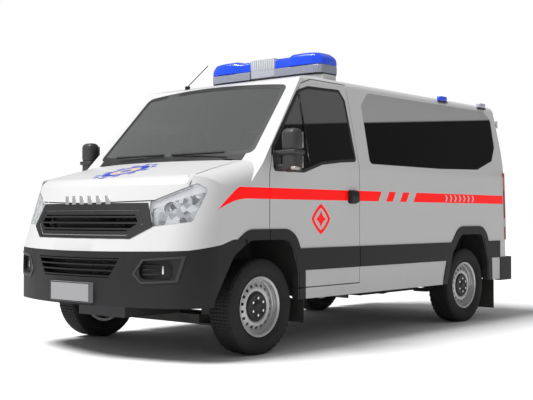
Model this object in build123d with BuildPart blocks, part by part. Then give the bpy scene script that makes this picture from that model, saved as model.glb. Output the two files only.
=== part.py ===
from build123d import *
from math import atan2, cos, degrees, radians, sin, sqrt
import os

os.makedirs("parts", exist_ok=True)

# High-roof ambulance on a panel van, in millimetres.
# It is drawn from the front axle's line on the ground: x forwards, y to the vehicle's left, z up.
# Each finished piece is written with its origin moved back to mid-length.

# Whole vehicle
wheelbase = 3000
track = 1724
front_overhang = 985
rear_overhang = 920
body_width = 2000
half_width = body_width / 2
mid_length_x = (front_overhang - wheelbase - rear_overhang) / 2
cut = 40  # overrun of every cut past the piece it goes through

# Clearances
shut_gap = 8  # between a door and its frame
seat = 0.3  # between a carried piece and its seat
running = 0.05  # radial, shaft in bore

# Body walls
wall = 60
bonnet_wall = 25
glass = 8
glass_set = 4  # glass surface below the panel

# Body side and roof section, seen from the front
sill_z = 380
belt_z = 1400
gutter_z = 2120
gutter_y = 857
crown_z = 2205
belt_round = 250
gutter_round = 75

# Nose, in plan and along its centre line
nose_x = 960
nose_radius = 2050
corner_radius = 350
face_foot_z = 763
lip_x = 781
lip_z = 1274
lip_round = 60
face_lean = (nose_x - lip_x) / (lip_z - face_foot_z)

# Bonnet, falling forwards from the cowl
cowl_x = 96
cowl_z = 1440
bonnet_slope = (cowl_z - lip_z) / (lip_x - cowl_x)
bonnet_crown_radius = 11000
bonnet_edge_round = 180
hood_side_y = 800
hood_rear_x = 135
hood_rear_side_x = 48
hood_front_x = 1000
hood_front_z = 1104
hood_corner_z = 1121
hood_corner_y = 620
hood_wing_y = 900
hood_wing_z = 1240

# Windscreen, from its base to the roof header
header_x = -480
header_z = 2075
screen_radius = 4500
screen_foot_z = 1230
screen_lean = (cowl_x - header_x) / (header_z - cowl_z)
screen_angle = atan2(1, screen_lean)

# Roof line, seen from the side
roof_swell_z = 2166
roof_rise_x = -1100
roof_rise_z = 2196
roof_mid_x = -2400
roof_end_x = -3600
roof_end_z = 2188

# Tail
tail_x = -3842
tail_corner = 90
tail_lean = 0.0527
tail_round = 80
ROOF_TOP_Z = 2500


def unit(x, y, z):
    """Return a direction scaled to length one, so that an amount along it is a length."""
    length = sqrt(x * x + y * y + z * z)
    return (x / length, y / length, z / length)


def write(builder, node):
    """Label one finished piece, move it back to mid-length and write its file."""
    builder.part.label = node
    placed = Location((-mid_length_x, 0, 0)) * builder.part
    placed.label = node
    export_step(placed, "parts/" + node + ".step")


def write_pair(builder, node):
    """Write the left piece and its mirror image on the right as two nodes."""
    write(builder, node + "_left")
    with BuildPart() as other:
        mirror(builder.part, about=Plane.XZ)
    write(other, node + "_right")


def placed(shares, start, size):
    """Turn outline shares into points of a rectangle with its low corner at start."""
    return [(start[0] + a * size[0], start[1] + b * size[1]) for a, b in shares]


def side_region(points, y_from, y_to, rounding=0):
    """Extrude a side-view outline, drawn in x and z, from one y to another."""
    with BuildPart() as region:
        with BuildSketch(Plane.XZ.offset(-y_from)) as face:
            with BuildLine():
                Polyline(*points, close=True)
            make_face()
            if rounding:
                fillet(face.vertices(), rounding)
        extrude(amount=-(y_to - y_from))
    return region.part


def front_region(points, x_from, x_to, rounding=0):
    """Extrude a front-view outline, drawn in y and z, from one x to another."""
    with BuildPart() as region:
        with BuildSketch(Plane.YZ.offset(x_from)) as face:
            with BuildLine():
                Polyline(*points, close=True)
            make_face()
            if rounding:
                fillet(face.vertices(), rounding)
        extrude(amount=x_to - x_from)
    return region.part


def plan_region(points, z_from, z_to):
    """Extrude a plan outline, drawn in x and y, from one z to another."""
    with BuildPart() as region:
        with BuildSketch(Plane.XY.offset(z_from)):
            with BuildLine():
                Polyline(*points, close=True)
            make_face()
        extrude(amount=z_to - z_from)
    return region.part


def arc_fall(radius, half):
    """How far an arc of this radius falls away at half its chord."""
    return radius - sqrt(radius * radius - half * half)


def plan_nose(inset, back_x, z):
    """Sketch the nose in plan, from a straight back edge to its curved front and round corners."""
    half = half_width - inset
    front = nose_x - inset
    side_x = front - arc_fall(nose_radius - inset, half)
    with BuildSketch(Plane.XY.offset(z)) as plan:
        with BuildLine():
            ThreePointArc((side_x, -half), (front, 0), (side_x, half))
            Polyline((side_x, half), (back_x, half), (back_x, -half), (side_x, -half))
        make_face()
        fillet(plan.vertices().group_by(Axis.X)[-1], corner_radius - inset)
    return plan.sketch


def hull(inset, open_floor=False):
    """The body's whole outer form as one solid, moved inwards by the inset."""
    half = half_width - inset
    foot_z = sill_z - cut if open_floor else sill_z
    with BuildPart() as nose:
        add(plan_nose(inset, header_x, foot_z))
        extrude(amount=face_foot_z - foot_z)
        add(plan_nose(inset, cowl_x / 2, face_foot_z))
        extrude(amount=cowl_z, dir=unit(-face_lean, 0, 1))
        with BuildSketch(Plane.YZ.offset(header_x)) as tunnel:
            top = cowl_z - inset + bonnet_slope * (cowl_x - header_x)
            edge = top - arc_fall(bonnet_crown_radius - inset, half)
            low = foot_z - bonnet_slope * cowl_x - cowl_z
            with BuildLine():
                ThreePointArc((-half, edge), (0, top), (half, edge))
                Polyline((half, edge), (half, low), (-half, low), (-half, edge))
            make_face()
            fillet(tunnel.vertices().group_by(Axis.Y)[-1], bonnet_edge_round - inset)
        extrude(amount=wheelbase, dir=unit(1, 0, -bonnet_slope), mode=Mode.INTERSECT)
    with BuildPart() as tail_limit:
        with BuildSketch(Plane.XY.offset(foot_z)) as plan:
            back = tail_x + inset + tail_lean * (foot_z - sill_z)
            with BuildLine():
                Polyline((back, -half), (cowl_x, -half), (cowl_x, half), (back, half), close=True)
            make_face()
            fillet(plan.vertices().group_by(Axis.X)[0], tail_corner - inset / 2)
        extrude(amount=ROOF_TOP_Z, dir=unit(tail_lean, 0, 1))
    with BuildPart() as screen_limit:
        with BuildSketch(Plane.XY.offset(screen_foot_z)):
            base = cowl_x + screen_lean * (cowl_z - screen_foot_z) - inset / sin(screen_angle)
            side = base - arc_fall(screen_radius, body_width / 2)
            with BuildLine():
                ThreePointArc((side, -half_width), (base, 0), (side, half_width))
                Polyline((side, half_width), (2 * tail_x, half_width), (2 * tail_x, -half_width),
                         (side, -half_width))
            make_face()
        extrude(amount=ROOF_TOP_Z, dir=unit(-screen_lean, 0, 1))
        with BuildSketch(Plane.XY.offset(foot_z)):
            with BuildLine():
                Polyline((2 * tail_x, -half_width), (cowl_x, -half_width), (cowl_x, half_width),
                         (2 * tail_x, half_width), close=True)
            make_face()
        extrude(amount=screen_foot_z - foot_z)
    with BuildPart() as form:
        with BuildSketch(Plane.YZ.offset(tail_x - cut)) as section:
            with BuildLine():
                shoulder = (gutter_y - inset, gutter_z - inset)
                ThreePointArc((-shoulder[0], shoulder[1]), (0, crown_z - inset), shoulder)
                Polyline(shoulder, (half, belt_z), (half, foot_z), (-half, foot_z),
                         (-half, belt_z), (-shoulder[0], shoulder[1]))
            make_face()
            fillet(section.vertices().group_by(Axis.Y)[1], belt_round)
            fillet(section.vertices().group_by(Axis.Y)[-1], gutter_round - inset)
        extrude(amount=wheelbase + front_overhang + rear_overhang)
        with BuildSketch(Plane.XZ):
            with BuildLine():
                header = (header_x - inset, header_z)
                rise = (roof_rise_x, roof_rise_z - inset)
                swell = ((header_x + 2 * roof_rise_x) / 3, roof_swell_z - inset)
                end = (roof_end_x, roof_end_z - inset)
                tail = tail_x - cut
                Polyline(rise, (roof_mid_x, crown_z - inset), end, (tail, end[1]), (tail, foot_z),
                         (cowl_x + screen_foot_z, foot_z), (cowl_x + screen_foot_z, header_z), header)
                ThreePointArc(header, swell, rise)
            make_face()
        extrude(amount=body_width, both=True, mode=Mode.INTERSECT)
        add(tail_limit.part, mode=Mode.INTERSECT)
        add(screen_limit.part, mode=Mode.INTERSECT)
        add(nose.part)
    return form.part


# Wing's upper rear corner, where it meets the windscreen pillar
wing_peak_x = -92
wing_peak_z = 1512
wing_base_x = -20
wing_base_z = 1478

# Cab door opening, from the side
door_front_x = -56
door_rear_x = -1185
door_sill_z = 470
door_top_z = 2092
door_knee_z = 1330
door_top_front_x = -720
door_bend_x = -575
door_bend_z = 2045
door_pillar_x = -372
door_pillar_z = 1822
door_tip_x = -108
door_tip_z = 1520
door_hinge_x = -16
door_hinge_y = 972
hinge_heights = (905, 1230)

# Wheel arches, as outlines of shares of their width and height
front_arch_rear_x = -390
front_arch_width = 950
front_arch_shares = [(0, 0), (0, 0.55), (0.1, 1), (0.58, 1), (0.76, 0.8), (0.96, 0.25), (1, 0)]
rear_arch_rear_x = -3392
rear_arch_width = 800
rear_arch_shares = [(0, 0), (0.01, 0.5), (0.14, 1), (0.68, 1), (0.88, 0.68), (0.99, 0.2), (1, 0)]
arch_low_z = 300
arch_high_z = 836
arch_round = 110
flare_width = 78
flare_proud = 8

# Windows, from the side
side_glass_front_x = -1354
side_glass_rear_x = -3669
side_glass_low_z = 1445
side_glass_high_z = 2068
side_glass_shares = [(0, 0.86), (0.05, 1), (0.92, 0.985), (0.945, 0.97), (0.995, 0.8), (1, 0),
                     (0.51, 0), (0.2, 0.03), (0.055, 0.19), (0.01, 0.41)]
side_glass_round = 40
window_frame = 28
side_pillar_x = -2437
cab_glass_rear_x = -1166
cab_glass_front_x = -95
cab_glass_low_z = 1340
cab_glass_high_z = 2046
cab_glass_shares = [(0.02, 0.88), (0.08, 1), (0.47, 0.985), (0.59, 0.93), (0.84, 0.62), (1, 0.26),
                    (1, 0), (0.66, 0), (0.44, 0.1), (0.2, 0.14), (0, 0.16)]
cab_glass_round = 35

# Windscreen outline in its own plane
screen_base_half = 866
screen_top_half = 789
screen_base_rise = 109
screen_top_rise = 2
screen_round = 60
screen_length = sqrt((header_z - cowl_z) ** 2 + (cowl_x - header_x) ** 2)

# Rear doors, from behind
rear_door_half = 880
rear_door_low_z = 640
rear_door_high_z = 2080
rear_door_top_half = 752
rear_split = 6
rear_door_depth = 155
rear_hinge_y = 893
rear_hinge_off = 25
rear_hinge_heights = (710, 1951)

# Bumper and front panel split lines, from the side
bumper_line = [(1100, 755), (700, 775), (455, 811), (340, 845), (200, 845)]
wing_low_z = 960
panel_half = 640

# Lamps and grilles
lamp_plane_x = 750
lamp_plane_y = 800
lamp_low_z = 928
lamp_height = 309
lamp_back = -260
lamp_width = 431
lamp_shares = [(0, 0.87), (0.18, 1), (0.62, 0.84), (0.94, 0.62), (1, 0), (0.26, 0.13)]
lamp_round = 28
grille_high_z = 1047
grille_tip_z = 952
grille_low_z = 876
grille_high_half = 519
grille_tip_half = 578
grille_low_half = 471
intake_high_z = 745
intake_low_z = 551
intake_high_half = 500
intake_low_half = 374
frame_bar = 14

# Shells of the body, each the space between two forms
body_form = hull(0)
glass_out_form = hull(glass_set)
glass_in_form = hull(glass_set + glass, open_floor=True)
skin_in_form = hull(bonnet_wall, open_floor=True)
wall_in_form = hull(wall, open_floor=True)

with BuildPart() as shell:
    add(body_form)
    add(wall_in_form, mode=Mode.SUBTRACT)

with BuildPart() as skin:
    add(body_form)
    add(skin_in_form, mode=Mode.SUBTRACT)

with BuildPart() as glass_layer:
    add(glass_out_form)
    add(glass_in_form, mode=Mode.SUBTRACT)

with BuildPart() as rebate_layer:
    add(body_form)
    add(glass_in_form, mode=Mode.SUBTRACT)

# Openings and split regions
front_arch_size = (front_arch_width, arch_high_z - arch_low_z)
rear_arch_size = (rear_arch_width, arch_high_z - arch_low_z)
front_arch_outline = placed(front_arch_shares, (front_arch_rear_x, arch_low_z), front_arch_size)
rear_arch_outline = placed(rear_arch_shares, (rear_arch_rear_x, arch_low_z), rear_arch_size)

with BuildPart() as arches:
    for outline in (front_arch_outline, rear_arch_outline):
        with BuildSketch(Plane.XZ) as face:
            with BuildLine():
                Polyline(*outline, close=True)
            make_face()
            fillet(face.vertices().sort_by(Axis.Y)[2:], arch_round)
        extrude(amount=body_width, both=True)

with BuildPart() as flares:
    for outline in (front_arch_outline, rear_arch_outline):
        with BuildSketch(Plane.XZ.offset(-half_width)) as face:
            with BuildLine():
                Polyline(*outline, close=True)
            make_face()
            fillet(face.vertices().sort_by(Axis.Y)[2:], arch_round)
            offset(amount=flare_width)
        extrude(amount=-flare_proud)
    add(arches.part, mode=Mode.SUBTRACT)
    split(bisect_by=Plane.XY.offset(sill_z), keep=Keep.TOP)

# The cab door's edges run round its hinge line, so that it clears its frame by the same gap all the way
door_points = [(door_front_x, door_knee_z), (door_front_x, door_sill_z), (door_rear_x - cut, door_sill_z),
               (door_rear_x - cut, door_top_z), (door_top_front_x, door_top_z), (door_bend_x, door_bend_z),
               (door_pillar_x, door_pillar_z), (door_tip_x, door_tip_z)]
door_edge_radius = sqrt((door_front_x - door_hinge_x) ** 2 + (half_width - door_hinge_y) ** 2)
frame_edge_radius = sqrt((door_front_x + shut_gap - door_hinge_x) ** 2 + (half_width - door_hinge_y) ** 2)
door_reach = door_hinge_x - door_rear_x


def door_space(grow, edge_radius, reach):
    """Space of the cab door or of its opening, on the left side."""
    with BuildPart() as space:
        with BuildSketch(Plane.XZ):
            with BuildLine():
                Polyline(*door_points, close=True)
            make_face()
            if grow:
                offset(amount=grow, kind=Kind.INTERSECTION)
        extrude(amount=-(half_width + cut))
        with BuildSketch():
            with Locations((door_hinge_x, door_hinge_y)):
                Circle(reach)
                Circle(edge_radius, mode=Mode.SUBTRACT)
        extrude(amount=ROOF_TOP_Z, mode=Mode.INTERSECT)
        depth = wall + grow
        side = [(half_width - depth, 0), (half_width - depth, belt_z), (gutter_y - depth, gutter_z),
                (half_width + cut, gutter_z), (half_width + cut, 0)]
        add(front_region(side, door_rear_x - cut, front_overhang), mode=Mode.INTERSECT)
    return space.part


door_tip_radius = 93  # clears the frame as the door swings
door_region = door_space(0, door_edge_radius, door_reach)
door_opening = door_space(shut_gap, frame_edge_radius, door_reach + shut_gap)

# Side glass and cab glass outlines
side_glass_size = (side_glass_front_x - side_glass_rear_x, side_glass_high_z - side_glass_low_z)
side_glass_points = placed(side_glass_shares, (side_glass_rear_x, side_glass_low_z), side_glass_size)
cab_glass_size = (cab_glass_front_x - cab_glass_rear_x, cab_glass_high_z - cab_glass_low_z)
cab_glass_points = placed(cab_glass_shares, (cab_glass_rear_x, cab_glass_low_z), cab_glass_size)


def pane_region(points, rounding, frame):
    """Extrude a window outline through the left side, smaller all round by the frame."""
    with BuildPart() as region:
        with BuildSketch(Plane.XZ) as face:
            with BuildLine():
                Polyline(*points, close=True)
            make_face()
            fillet(face.vertices(), rounding)
            if frame:
                offset(amount=-frame)
        extrude(amount=-(half_width + cut))
    return region.part


side_pane = pane_region(side_glass_points, side_glass_round, 0)
side_hole = pane_region(side_glass_points, side_glass_round, window_frame)
cab_pane = pane_region(cab_glass_points, cab_glass_round, 0)
cab_hole = pane_region(cab_glass_points, cab_glass_round, window_frame)

with BuildPart() as side_holes:
    add(side_hole)
    with Locations((side_pillar_x, half_width / 2, side_glass_high_z)):
        Box(2 * window_frame, body_width, 2 * side_glass_high_z, mode=Mode.SUBTRACT)

# Windscreen outline, drawn in the plane of the glass
screen_plane = Plane(origin=((cowl_x + header_x) / 2, 0, (cowl_z + header_z) / 2), x_dir=(0, 1, 0),
                     z_dir=unit(1, 0, screen_lean))


def screen_region(frame):
    """Space of the windscreen, smaller all round by the frame."""
    base_v = -screen_length / 2
    top_v = screen_length / 2
    with BuildPart() as region:
        with BuildSketch(screen_plane) as face:
            with BuildLine():
                low = (screen_base_half, base_v + screen_base_rise)
                high = (screen_top_half, top_v + screen_top_rise)
                ThreePointArc((-low[0], low[1]), (0, base_v), low)
                Line(low, high)
                ThreePointArc(high, (0, top_v), (-high[0], high[1]))
                Line((-high[0], high[1]), (-low[0], low[1]))
            make_face()
            fillet(face.vertices(), screen_round)
            if frame:
                offset(amount=-frame)
        extrude(amount=wheelbase / 4, both=True)
        split(bisect_by=Plane.YZ.offset(roof_rise_x), keep=Keep.TOP)
    return region.part


screen_pane = screen_region(0)
screen_hole = screen_region(window_frame)

# Bonnet: its plan outline above its lower edge, and the wider space that it needs
def hood_space(grow):
    """Space of the bonnet, or with its gap all round."""
    side = hood_side_y + grow
    with BuildPart() as space:
        with BuildSketch(Plane.XY.offset(face_foot_z)):
            with BuildLine():
                ThreePointArc((hood_rear_side_x - grow, -side), (hood_rear_x - grow, 0),
                              (hood_rear_side_x - grow, side))
                Polyline((hood_rear_side_x - grow, side), (lip_x / 2, side + grow),
                         (hood_front_x, hood_wing_y + grow), (hood_front_x, -hood_wing_y - grow),
                         (lip_x / 2, -side - grow), (hood_rear_side_x - grow, -side))
            make_face()
        extrude(amount=ROOF_TOP_Z)
        with BuildSketch(Plane.YZ):
            with BuildLine():
                Polyline((0, hood_front_z - grow), (hood_corner_y, hood_corner_z - grow),
                         (hood_wing_y, hood_wing_z - grow), (half_width, hood_wing_z - grow),
                         (half_width, ROOF_TOP_Z), (-half_width, ROOF_TOP_Z),
                         (-half_width, hood_wing_z - grow), (-hood_wing_y, hood_wing_z - grow),
                         (-hood_corner_y, hood_corner_z - grow), close=True)
            make_face()
        extrude(amount=front_overhang, mode=Mode.INTERSECT)
    return space.part


hood_region = hood_space(0)
hood_opening = hood_space(shut_gap)

with BuildPart() as bonnet:
    add(skin.part)
    add(hood_region, mode=Mode.INTERSECT)

# Headlamp outline, drawn square to the corner of the nose
lamp_plane = Plane(origin=(lamp_plane_x, lamp_plane_y, 0), x_dir=(1, -1, 0), z_dir=(-1, -1, 0))
with BuildPart() as lamp_space:
    with BuildSketch(lamp_plane) as face:
        with BuildLine():
            Polyline(*placed(lamp_shares, (lamp_back, lamp_low_z), (lamp_width, lamp_height)), close=True)
        make_face()
        fillet(face.vertices(), lamp_round)
    extrude(amount=corner_radius, both=True)
    mirror(about=Plane.XZ)

# Rear doors
rear_taper = (rear_door_half - rear_door_top_half) / (rear_door_high_z - belt_z)


def rear_space(grow, inner_y):
    """Space of the left rear door, or of both with their gap."""
    points = [(inner_y, rear_door_low_z - grow), (rear_door_half + grow, rear_door_low_z - grow),
              (rear_door_half + grow, belt_z), (rear_door_top_half + grow, rear_door_high_z + grow),
              (inner_y, rear_door_high_z + grow)]
    return front_region(points, tail_x - cut, tail_x + rear_door_depth)


rear_region = rear_space(0, rear_split / 2)
rear_half_opening = rear_space(shut_gap, 0)
with BuildPart() as rear_opening:
    add(rear_half_opening)
    mirror(about=Plane.XZ)


# Front panels
with BuildPart() as bumper_space:
    add(side_region(bumper_line + [(bumper_line[-1][0], 0), (bumper_line[0][0], 0)], -body_width, body_width))

with BuildPart() as panel_space:
    wing = [(bumper_line[0][0], 0), (bumper_line[0][0], wing_low_z), (bumper_line[-2][0], wing_low_z),
            (bumper_line[-1][0], 0)]
    add(side_region(wing, -body_width, body_width))
    with Locations((lip_x, 0, wing_low_z)):
        Box(lip_x, 2 * panel_half, lip_x)
    add(hood_opening, mode=Mode.SUBTRACT)
    add(bumper_space.part, mode=Mode.SUBTRACT)

grille_points = [(grille_high_half, grille_high_z), (grille_tip_half, grille_tip_z),
                 (grille_low_half, grille_low_z), (-grille_low_half, grille_low_z),
                 (-grille_tip_half, grille_tip_z), (-grille_high_half, grille_high_z)]
intake_points = [(intake_high_half, intake_high_z), (intake_low_half, intake_low_z),
                 (-intake_low_half, intake_low_z), (-intake_high_half, intake_high_z)]
grille_space = front_region(grille_points, lip_x - wall, front_overhang, frame_bar)
intake_space = front_region(intake_points, lip_x - wall, front_overhang, frame_bar)

# Fog lamp pockets in the bumper's corners
fog_y = 690
fog_z = 640
fog_width = 250
fog_height = 130
fog_radius = 46
fog_depth = 20
with BuildPart() as fog_space:
    with BuildSketch(Plane(origin=(lamp_plane_x, fog_y, fog_z), x_dir=(1, -2, 0), z_dir=(-2, -1, 0))):
        RectangleRounded(fog_width, fog_height, fog_radius)
    extrude(amount=corner_radius, both=True)
    mirror(about=Plane.XZ)

fog_lamp_radius = 40
fog_lamp_depth = 60

with BuildPart() as front_bumper:
    add(shell.part)
    add(bumper_space.part, mode=Mode.INTERSECT)
    for space in (arches.part, intake_space, fog_space.part):
        add(space, mode=Mode.SUBTRACT)
write(front_bumper, "front_bumper")

with BuildPart() as front_panel:
    add(shell.part)
    add(panel_space.part, mode=Mode.INTERSECT)
    for space in (arches.part, grille_space, lamp_space.part):
        add(space, mode=Mode.SUBTRACT)
write(front_panel, "front_panel")

# Headlamps fill their openings to half the wall
with BuildPart() as headlamps:
    add(skin.part)
    add(lamp_space.part, mode=Mode.INTERSECT)
    add(hood_opening, mode=Mode.SUBTRACT)

# Bonnet hinges: tubes on the bonnet's arms, pins between lugs on the cowl's trough
hood_axis_x = 60
hood_axis_z = 1404
hood_lug_y = 700
hood_tube_length = 40
hood_tube = 10
hood_pin = 5
hood_lug_thick = 8
hood_arm_reach = 70
hood_notch = 15
hood_notch_half = hood_tube_length / 2 + seat + hood_lug_thick + shut_gap
trough_radius = 32
trough_thick = 6
trough_inner_y = 640
with BuildPart() as whole_bonnet:
    add(bonnet.part)
    with Locations((hood_axis_x, hood_lug_y, cowl_z), (hood_axis_x, -hood_lug_y, cowl_z)):
        Box(2 * hood_notch, 2 * hood_notch_half, front_overhang, mode=Mode.SUBTRACT)
    for side in (hood_lug_y, -hood_lug_y):
        with BuildSketch(Plane.XZ.offset(-side + hood_tube_length / 2)):
            with Locations((hood_axis_x + hood_arm_reach / 2, hood_axis_z)):
                Rectangle(hood_arm_reach, 2 * hood_tube)
            with Locations((hood_axis_x, hood_axis_z)):
                Circle(hood_tube)
                Circle(hood_pin + running, mode=Mode.SUBTRACT)
        extrude(amount=-hood_tube_length)
    add(body_form, mode=Mode.INTERSECT)
write(whole_bonnet, "bonnet")

# Roof, split from the sides at the gutter and above the windscreen
roof_seam_z = 2106
roof_seam_x = -760
roof_step_x = -600
roof_step_z = 2074
roof_header_x = -556
roof_header_z = 2030
roof_points = [(2 * tail_x, roof_seam_z), (roof_seam_x, roof_seam_z), (roof_step_x, roof_step_z),
               (roof_header_x, roof_header_z), (front_overhang, roof_header_z),
               (front_overhang, ROOF_TOP_Z), (2 * tail_x, ROOF_TOP_Z)]
roof_region = side_region(roof_points, -body_width, body_width)

with BuildPart() as roof_panel:
    add(shell.part)
    add(roof_region, mode=Mode.INTERSECT)
    add(screen_pane, mode=Mode.SUBTRACT)
write(roof_panel, "roof_panel")

# Cowl between the bonnet and the windscreen
cowl_half = hood_side_y + shut_gap
cowl_space_length = 240
hood_axis = Axis((hood_axis_x, 0, hood_axis_z), (0, -1, 0))
hood_clear = 5
hood_turn = 45
hood_steps = 5
with BuildPart() as hood_edge:
    add(skin.part)
    add(hood_space(hood_clear), mode=Mode.INTERSECT)
    with Locations((hood_rear_side_x, 0, cowl_z)):
        Box(cowl_space_length, 2 * cowl_half, cowl_space_length, mode=Mode.INTERSECT)

with BuildPart() as cowl:
    add(skin.part)
    with Locations((hood_rear_side_x, 0, cowl_z)):
        Box(cowl_space_length, 2 * cowl_half, cowl_space_length, mode=Mode.INTERSECT)
    add(hood_opening, mode=Mode.SUBTRACT)
    add(screen_pane, mode=Mode.SUBTRACT)
    for step in range(1, hood_steps + 1):
        add(hood_edge.part.rotate(hood_axis, hood_turn * step / hood_steps), mode=Mode.SUBTRACT)
    for start in (trough_inner_y, -cowl_half):
        with BuildSketch(Plane.XZ.offset(-start)):
            with Locations((hood_axis_x, hood_axis_z)):
                Circle(trough_radius)
        extrude(amount=-(cowl_half - trough_inner_y), mode=Mode.SUBTRACT)
        with BuildSketch(Plane.XZ.offset(-start)):
            with Locations((hood_axis_x, hood_axis_z)):
                Circle(trough_radius + trough_thick)
                Circle(trough_radius, mode=Mode.SUBTRACT)
            with Locations((hood_axis_x - trough_radius, hood_axis_z - trough_radius)):
                Rectangle(2 * trough_radius, 2 * trough_radius + hood_tube, mode=Mode.INTERSECT)
        extrude(amount=-(cowl_half - trough_inner_y))
    for side in (hood_lug_y, -hood_lug_y):
        for low in (-hood_tube_length / 2 - seat - hood_lug_thick, hood_tube_length / 2 + seat):
            with BuildSketch(Plane.XZ.offset(-side - low)):
                with Locations((hood_axis_x, hood_axis_z)):
                    Circle(hood_tube)
                with BuildLine():
                    Polyline((hood_axis_x, hood_axis_z - hood_tube), (hood_axis_x - hood_tube, hood_axis_z),
                             (hood_axis_x - trough_radius, hood_axis_z),
                             (hood_axis_x - trough_radius, hood_axis_z - trough_radius),
                             (hood_axis_x, hood_axis_z - trough_radius), close=True)
                make_face()
            extrude(amount=-hood_lug_thick)
        with BuildSketch(Plane.XZ.offset(-side + hood_tube_length / 2 + seat)):
            with Locations((hood_axis_x, hood_axis_z)):
                Circle(hood_pin)
        extrude(amount=-(hood_tube_length + 2 * seat))

# Door pillar behind the wing
pillar_front_x = 54
pillar_inner_y = 820
with BuildPart() as pillar_space:
    add(skin_in_form)
    add(side_region([(wing_peak_x, 0), (wing_peak_x, wing_peak_z), (pillar_front_x, wing_peak_z),
                     (pillar_front_x, 0)], pillar_inner_y, half_width), mode=Mode.INTERSECT)

# Wings
wing_points = [(door_front_x - cut, sill_z - cut), (wing_peak_x, wing_peak_z), (wing_base_x, wing_base_z),
               (front_overhang, wing_base_z), (front_overhang, sill_z - cut)]
wing_region = side_region(wing_points, 0, body_width)
with BuildPart() as wing_left:
    add(shell.part)
    add(wing_region, mode=Mode.INTERSECT)
    with Locations((hood_rear_side_x, 0, cowl_z)):
        Box(cowl_space_length, 2 * cowl_half, cowl_space_length, mode=Mode.SUBTRACT)
    for space in (hood_opening, screen_pane, door_opening, lamp_space.part, bumper_space.part,
                  panel_space.part, arches.part, pillar_space.part):
        add(space, mode=Mode.SUBTRACT)

# Body sides
with BuildPart() as pillar_left:
    add(shell.part)
    add(pillar_space.part, mode=Mode.INTERSECT)
    add(wing_region, mode=Mode.INTERSECT)

with BuildPart() as side_left:
    add(shell.part)
    split(bisect_by=Plane.XZ, keep=Keep.BOTTOM)
    add(wing_region, mode=Mode.SUBTRACT)
    add(pillar_left.part)
    for space in (roof_region, screen_pane, door_opening, rear_opening.part, arches.part, side_holes.part):
        add(space, mode=Mode.SUBTRACT)

# Glass set into a rebate round each window
with BuildPart() as side_pane_left:
    add(glass_layer.part)
    add(side_pane, mode=Mode.INTERSECT)

with BuildPart() as side_rebate:
    add(rebate_layer.part)
    add(side_pane, mode=Mode.INTERSECT)


# Door hinges: a pin in the pillar's pocket, a knuckle and a swan-neck arm on the door
pin_radius = 7
knuckle_radius = 14
knuckle_height = 60
pocket_radius = 20
arm_thick = 10
arm_reach = 46
arm_length = 130
arm_opening = 60
with BuildPart() as hinge_pockets:
    for height in hinge_heights:
        with BuildSketch(Plane.XY.offset(height - knuckle_height / 2 - seat)):
            with Locations((door_hinge_x, door_hinge_y)):
                Circle(pocket_radius)
            with BuildLine():
                Polyline((door_hinge_x, door_hinge_y + pocket_radius),
                         (door_hinge_x - arm_opening, door_hinge_y + pocket_radius),
                         (door_hinge_x - arm_opening, half_width - 2 * wall),
                         (door_hinge_x + arm_thick, half_width - 2 * wall), close=True)
            make_face()
        extrude(amount=knuckle_height + 2 * seat)

with BuildPart() as hinge_pins:
    for height in hinge_heights:
        with Locations((door_hinge_x, door_hinge_y, height)):
            Cylinder(pin_radius, knuckle_height + 2 * seat)

with BuildPart() as hinge_arms:
    for height in hinge_heights:
        with BuildSketch(Plane.XY.offset(height - knuckle_height / 2)):
            with Locations((door_hinge_x, door_hinge_y)):
                Circle(knuckle_radius)
            inner_y = half_width - wall
            with BuildLine():
                Polyline((door_hinge_x + arm_thick / 2, door_hinge_y), (door_hinge_x - arm_thick, door_hinge_y),
                         (door_hinge_x - 2 * arm_thick, inner_y),
                         (door_hinge_x - arm_length, inner_y), (door_hinge_x - arm_length, inner_y - arm_thick),
                         (door_hinge_x - arm_thick, inner_y - arm_thick), close=True)
            make_face()
            with Locations((door_hinge_x, door_hinge_y)):
                Circle(pin_radius + running, mode=Mode.SUBTRACT)
        extrude(amount=knuckle_height)

# Rear door hinges outside the corners, on a line parallel to the leaning tail
# For each hinge: its height, where its pad on the door starts and its strap ends inboard of the
# hinge line, and how far its ears reach inboard and outboard
rear_hinges = ((710, 22, 140, 0, 40), (1951, 126, 250, 100, 0))
strap_thick = 6
strap_off = 6
strap_height = 44
tail_tube = 11
tail_pin = 5
ear_height = 14
tail_axis_x = tail_x - rear_hinge_off - tail_lean * sill_z


def tail_hinge_plane(height):
    """Plane across the rear door's hinge line at this height."""
    return Plane(origin=(tail_axis_x + tail_lean * height, rear_hinge_y, height), x_dir=(0, 1, 0),
                 z_dir=(tail_lean, 0, 1))


with BuildPart() as door_straps:
    for height, pad_start, strap_end, ear_in, ear_out in rear_hinges:
        with BuildSketch(tail_hinge_plane(height).offset(-strap_height / 2)):
            Circle(tail_tube)
            face_v = -rear_hinge_off
            with BuildLine():
                Polyline((0, tail_tube), (0, -tail_tube), (-tail_tube, face_v + strap_off), (-pad_start, face_v + strap_off),
                         (-pad_start, face_v), (-strap_end, face_v),
                         (-strap_end, face_v + strap_off + strap_thick),
                         (-tail_tube, face_v + strap_off + strap_thick), close=True)
            make_face()
            Circle(tail_pin + running, mode=Mode.SUBTRACT)
        extrude(amount=strap_height)

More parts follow.
